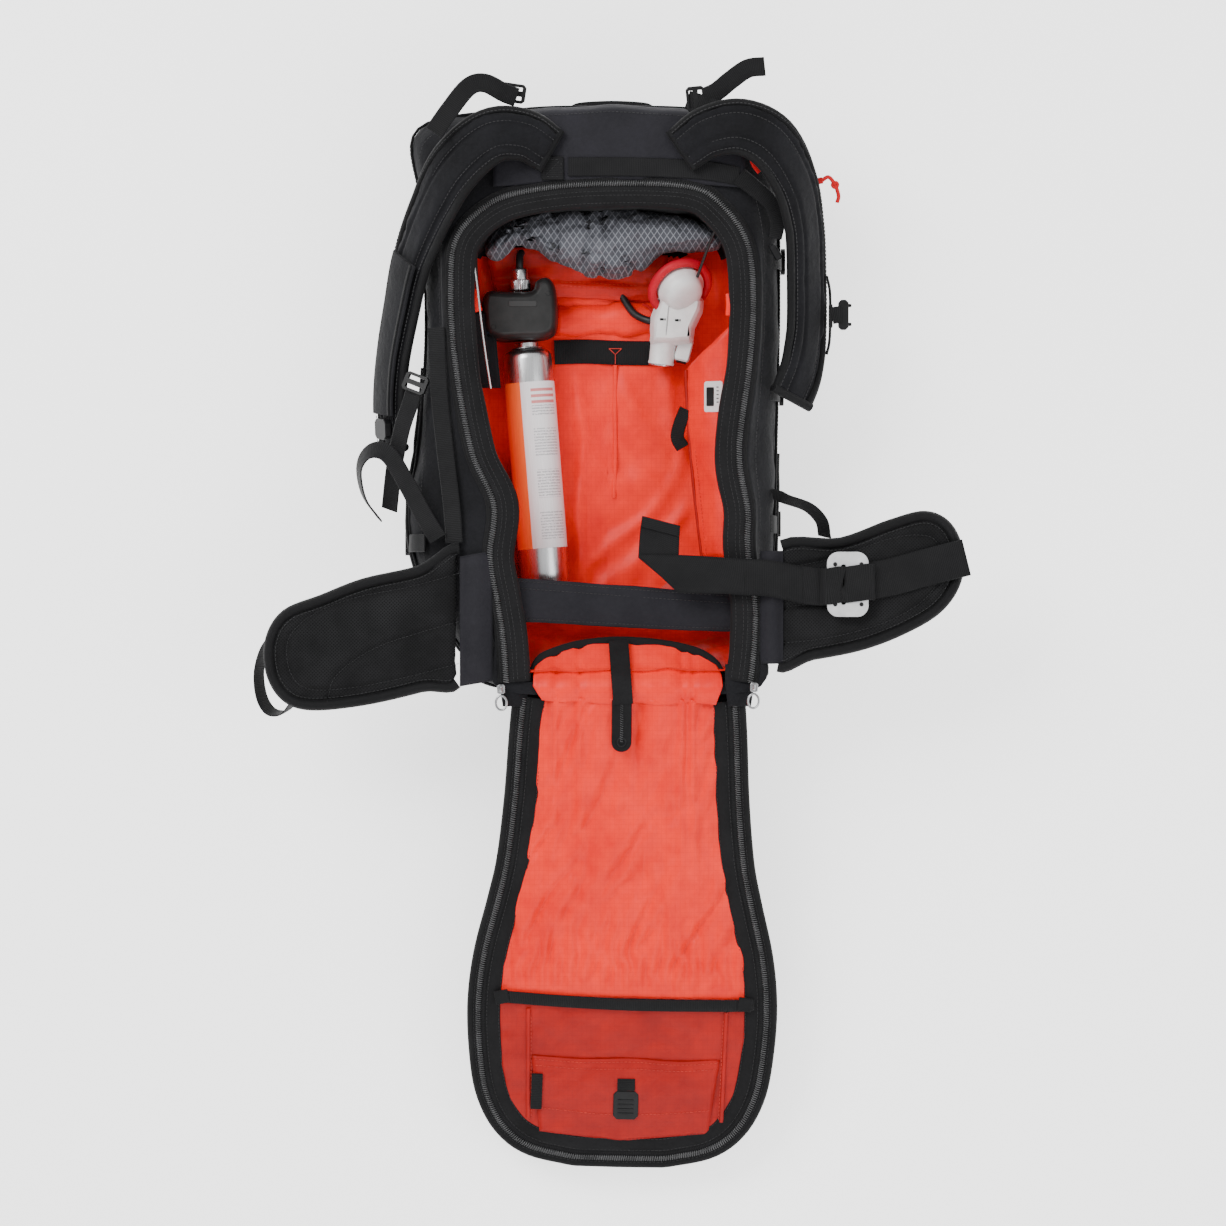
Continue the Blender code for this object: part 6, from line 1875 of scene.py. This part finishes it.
def build_webbing():
    lifter = spline([(-0.1, 0.3165, 0.177), (-0.113, 0.321, 0.18), (-0.133, 0.33, 0.19),
                     (-0.15, 0.325, 0.196),
                     (-0.17, 0.3, 0.2), (-0.186, 0.277, 0.2)], 6)
    hinged(strap("load_lifter_left_strap", lifter, WEB_NARROW, 0.0018), WEBBING, "black_webbing",
           ("pack", "shoulder_left"), (-0.12, 0.322, 0.184), (-0.176, 0.29, 0.198), "load_lifter_left")
    lifter = spline([(0.098, 0.3175, 0.1735), (0.11, 0.323, 0.176), (0.124, 0.334, 0.18),
                     (0.142, 0.346, 0.183), (0.16, 0.3485, 0.182)], 6)
    piece(strap("load_lifter_right_strap", lifter, WEB_NARROW, 0.0018), WEBBING, "black_webbing", "pack",
          "load_lifter_right")
    under = spline([(0.079, 0.315, 0.169), (0.1, 0.308, 0.174), (0.12, 0.3, 0.185)], 6)
    hinged(strap("load_lifter_right_under", under, WEB_NARROW, 0.0018), WEBBING, "black_webbing",
           ("pack", "shoulder_right"), (0.086, 0.313, 0.172), (0.112, 0.302, 0.182))
    for node, body in (("lifter_buckle_left", "pack"), ("lifter_buckle_right", "pack"),
                       ("strap_buckle_left", "shoulder_left")):
        piece(refined(node, 0.0007, node + "_detailed", 3), BLACK_PLASTIC, "black_plastic", body, node)

    run = spline([(-0.185, 0.076, 0.166), (-0.182, 0.01, 0.1645), (-0.176, -0.05, 0.163),
                  (-0.169, -0.11, 0.161), (-0.166, -0.15, 0.1608)], 6)
    piece(strap("side_strap_left_webbing", run, 0.019, 0.0018, (-0.3, 0, 1)), WEBBING, "black_webbing",
          "pack",
          "side_strap_left")
    low = spline([(-0.209, 0.01, 0.151), (-0.214, -0.006, 0.147), (-0.222, -0.03, 0.143),
                  (-0.231, -0.07, 0.128), (-0.237, -0.114, 0.108)], 6)
    hinged(strap("lower_strap_left_webbing", low, WEB_NARROW, 0.0018, (-0.5, 0, 1)), WEBBING,
           "black_webbing",
           ("shoulder_left", "pack"), (-0.211, -0.02, 0.149), (-0.29, -0.48, 0.02), "lower_strap_left")
    loop = spline([(-0.183, -0.146, 0.164), (-0.199, -0.12, 0.16), (-0.218, -0.085, 0.153),
                   (-0.237, -0.056, 0.148), (-0.256, -0.053, 0.14), (-0.268, -0.07, 0.128),
                   (-0.264, -0.1, 0.112), (-0.248, -0.124, 0.098)], 6)
    turns = resample(np.array([(0.1, 0.05, 1.0), (0.05, 0.1, 1.0), (-0.1, 0.2, 1.0), (-0.35, 0.4, 0.8),
                               (-0.9, 0.2, 0.45), (-1.0, -0.1, 0.3), (-1.0, -0.3, 0.25)]), len(loop))
    twisted = strap("strap_tail_left_webbing", loop, 0.019, 0.0018, turns)
    hinged(twisted, WEBBING, "black_webbing", ("pack", "shoulder_left"), (-0.19, -0.13, 0.162),
           (-0.25, -0.06, 0.14), "strap_tail_left")
    run = spline([(0.169, -0.098, 0.127), (0.177, -0.1, 0.129), (0.186, -0.104, 0.13),
                  (0.208, -0.112, 0.128),
                  (0.222, -0.126, 0.122), (0.226, -0.143, 0.114)], 6)
    piece(sweep("lower_strap_right_webbing", run, flat_section(0.0018, 0.018), (0.5, 0.35, 0.8)), WEBBING,
          "black_webbing", "pack",
          "lower_strap_right")

    rows = []
    for y, z in ((0.232, 0.1668), (0.25, 0.168), (0.28, 0.1672), (0.304, 0.16), (0.312, 0.15)):
        rows.append([(x, y - 0.0005 * abs(x * 100) ** 1.1, z + 0.0002 * (1 - abs(x * 9))) for x in
                     np.linspace(-0.125, 0.14, 12)])
    cloth_patch("yoke_cloth", rows, 5, lambda x, y, z: 0.0012 * fractal(x, y, z, 0.05, 3, 161.0),
                BLUISH_FABRIC, "black_fabric")
    seam = [lift([(x, 0.3035 - 0.0005 * abs(x * 100) ** 1.1) for x in np.linspace(-0.12, 0.135, 40)],
                 0.1622)]
    piece(stitches("yoke_stitching", seam), THREAD, "black_fabric", "pack")
    run = spline([(-0.046, 0.2445, 0.17), (0.02, 0.2445, 0.1698), (0.09, 0.2415, 0.1695),
                  (0.133, 0.235, 0.1695)], 8)
    piece(strap("yoke_webbing", run, 0.02, 0.002), WEBBING, "black_webbing", "pack", "yoke_band")
    run = spline([(0.133, 0.235, 0.17), (0.15, 0.222, 0.17), (0.166, 0.208, 0.166), (0.1745, 0.19, 0.16),
                  (0.172, 0.17, 0.158)], 8)
    widths = np.linspace(0.02, 0.014, len(run))
    piece(strap("yoke_webbing_tail", run, widths, 0.0018, (0.25, 0, 1)), WEBBING, "black_webbing", "pack")
    lever = rounded_plate("side_release_lever", 0.008, 0.018, 0.003, 0.0028,
                          Matrix.Translation((0.172, 0.156, 0.156)) @ Matrix.Rotation(0.5, 4, "Z"))
    piece(lever, BLACK_PLASTIC, "black_plastic", "pack")
    loop = rounded_plate("yoke_stitched_loop", 0.0235, 0.025, 0.004, 0.002,
                         Matrix.Translation((-0.0625, 0.243, 0.1675)))
    piece(loop, WEBBING, "black_webbing", "pack", "yoke_loop")
    cross = [[(-0.0715, 0.234, 0.1718), (-0.0535, 0.234, 0.1718)],
             [(-0.0535, 0.234, 0.1718), (-0.0535, 0.252, 0.1718)],
             [(-0.0535, 0.252, 0.1718), (-0.0715, 0.252, 0.1718)],
             [(-0.0715, 0.252, 0.1718), (-0.0715, 0.234, 0.1718)],
             [(-0.0715, 0.234, 0.1718), (-0.0535, 0.252, 0.1718)]]
    piece(stitches("yoke_box_stitch", [np.array(line) for line in cross], pitch=0.0034, length=0.0024),
          THREAD,
          "black_fabric", "pack")


def build_sliders():
    for side, spot, along in (("left", (-0.1165, -0.304, 0.1712), (-0.02, 1, 0)),
                              ("right", (0.149, -0.302, 0.1712), (0.05, 1, 0))):
        node = "zip_slider_" + side
        piece(refined(node, 0.0006, node + "_detailed", 3), ZIP_METAL, "zip_metal", "slider_" + side, node)
        home = frame_at(spot, along, (0, 0, 1))
        bridge = spline([(0, -0.0034, 0.0026), (0, -0.0026, 0.0046), (0, 0.0014, 0.0052),
                         (0, 0.0042, 0.003)], 5)
        lug = strap("slider_bridge_" + side, moved(bridge, home), 0.0026, 0.0012)
        piece(lug, ZIP_METAL, "zip_metal", "slider_" + side)
        node = "zip_puller_" + side
        hub = home @ Matrix.Translation((0, -0.0058, 0.0012))
        angles = np.arange(36) * 2 * math.pi / 36
        ring = [(0.0058 * math.cos(a), 0.0075 * math.sin(a) - 0.0086, 0) for a in angles]
        loop = sweep(node + "_ring", moved(ring, hub), round_section(0.0012, 0.0012, 10), closed=True)
        piece(loop, ZIP_METAL, "zip_metal", "puller_" + side, node)


# ---------------------------------------------------------------- floor, light and camera
def build_stage():
    rows = [[(x, y, -0.0008) for x in (-6.0, 6.0)] for y in (-6.0, 6.0)]
    floor = surface("studio_floor", rows)
    s = Shader("studio_floor", 0.9, specular=0.1)
    s.set("Emission Color", (1.0, 1.0, 1.0, 1.0))
    s.set("Emission Strength", 1.5)
    s.colour(s.ramp(s.noise(s.object, 1.5, 2), (0.9, 0.9, 0.9), (0.93, 0.93, 0.93)))
    floor.data.materials.append(s.made)
    world = bpy.data.worlds.new("soft_studio")
    world.use_nodes = True
    world.node_tree.nodes["Background"].inputs["Color"].default_value = (1.0, 1.0, 1.0, 1.0)
    world.node_tree.nodes["Background"].inputs["Strength"].default_value = 0.85
    bpy.context.scene.world = world
    for name, place, size, power in (("key", (-1.9, 1.7, 3.0), 1.8, 125.0),
                                     ("fill", (2.3, -0.9, 2.6), 2.4, 45.0),
                                     ("foot", (0.0, -3.0, 2.4), 2.4, 40.0)):
        light = bpy.data.lights.new(name, "AREA")
        light.shape = "SQUARE"
        light.size = size
        light.energy = power
        lamp = bpy.data.objects.new(name, light)
        lamp.location = place
        lamp.rotation_euler = (Vector((0, -0.15, 0.1)) - Vector(place)).to_track_quat("-Z", "Y").to_euler()
        bpy.context.scene.collection.objects.link(lamp)


def build_camera():
    """Straight down on the pack, with its top at the top of the frame."""
    lens = bpy.data.cameras.new("photo_angle")
    lens.sensor_width = 36.0
    lens.lens = 36.0 * 4.5 / (1226 * 0.00105)
    camera = bpy.data.objects.new("photo_angle", lens)
    camera.location = (0.001, -0.224, 4.67)
    camera.rotation_euler = (0.0, 0.0, 0.0)
    bpy.context.scene.collection.objects.link(camera)
    bpy.context.scene.camera = camera


def main():
    build_camera()
    build_stage()
    build_inflation_head()
    build_shell()
    build_side_details()
    build_border()
    build_lining()
    build_cavity_details()
    build_frame_wires()
    build_airbag()
    build_cartridge()
    build_panel()
    build_fold_cloth()
    build_hip_wing("left", HIP_LEFT, -0.156)
    build_hip_wing("right", HIP_RIGHT, 0.169)
    build_hip_roots()
    build_hip_webbing()
    for side in SHOULDERS:
        build_shoulder(side)
    build_shoulder_fittings()
    build_webbing()
    build_sliders()


main()
bpy.context.view_layer.update()
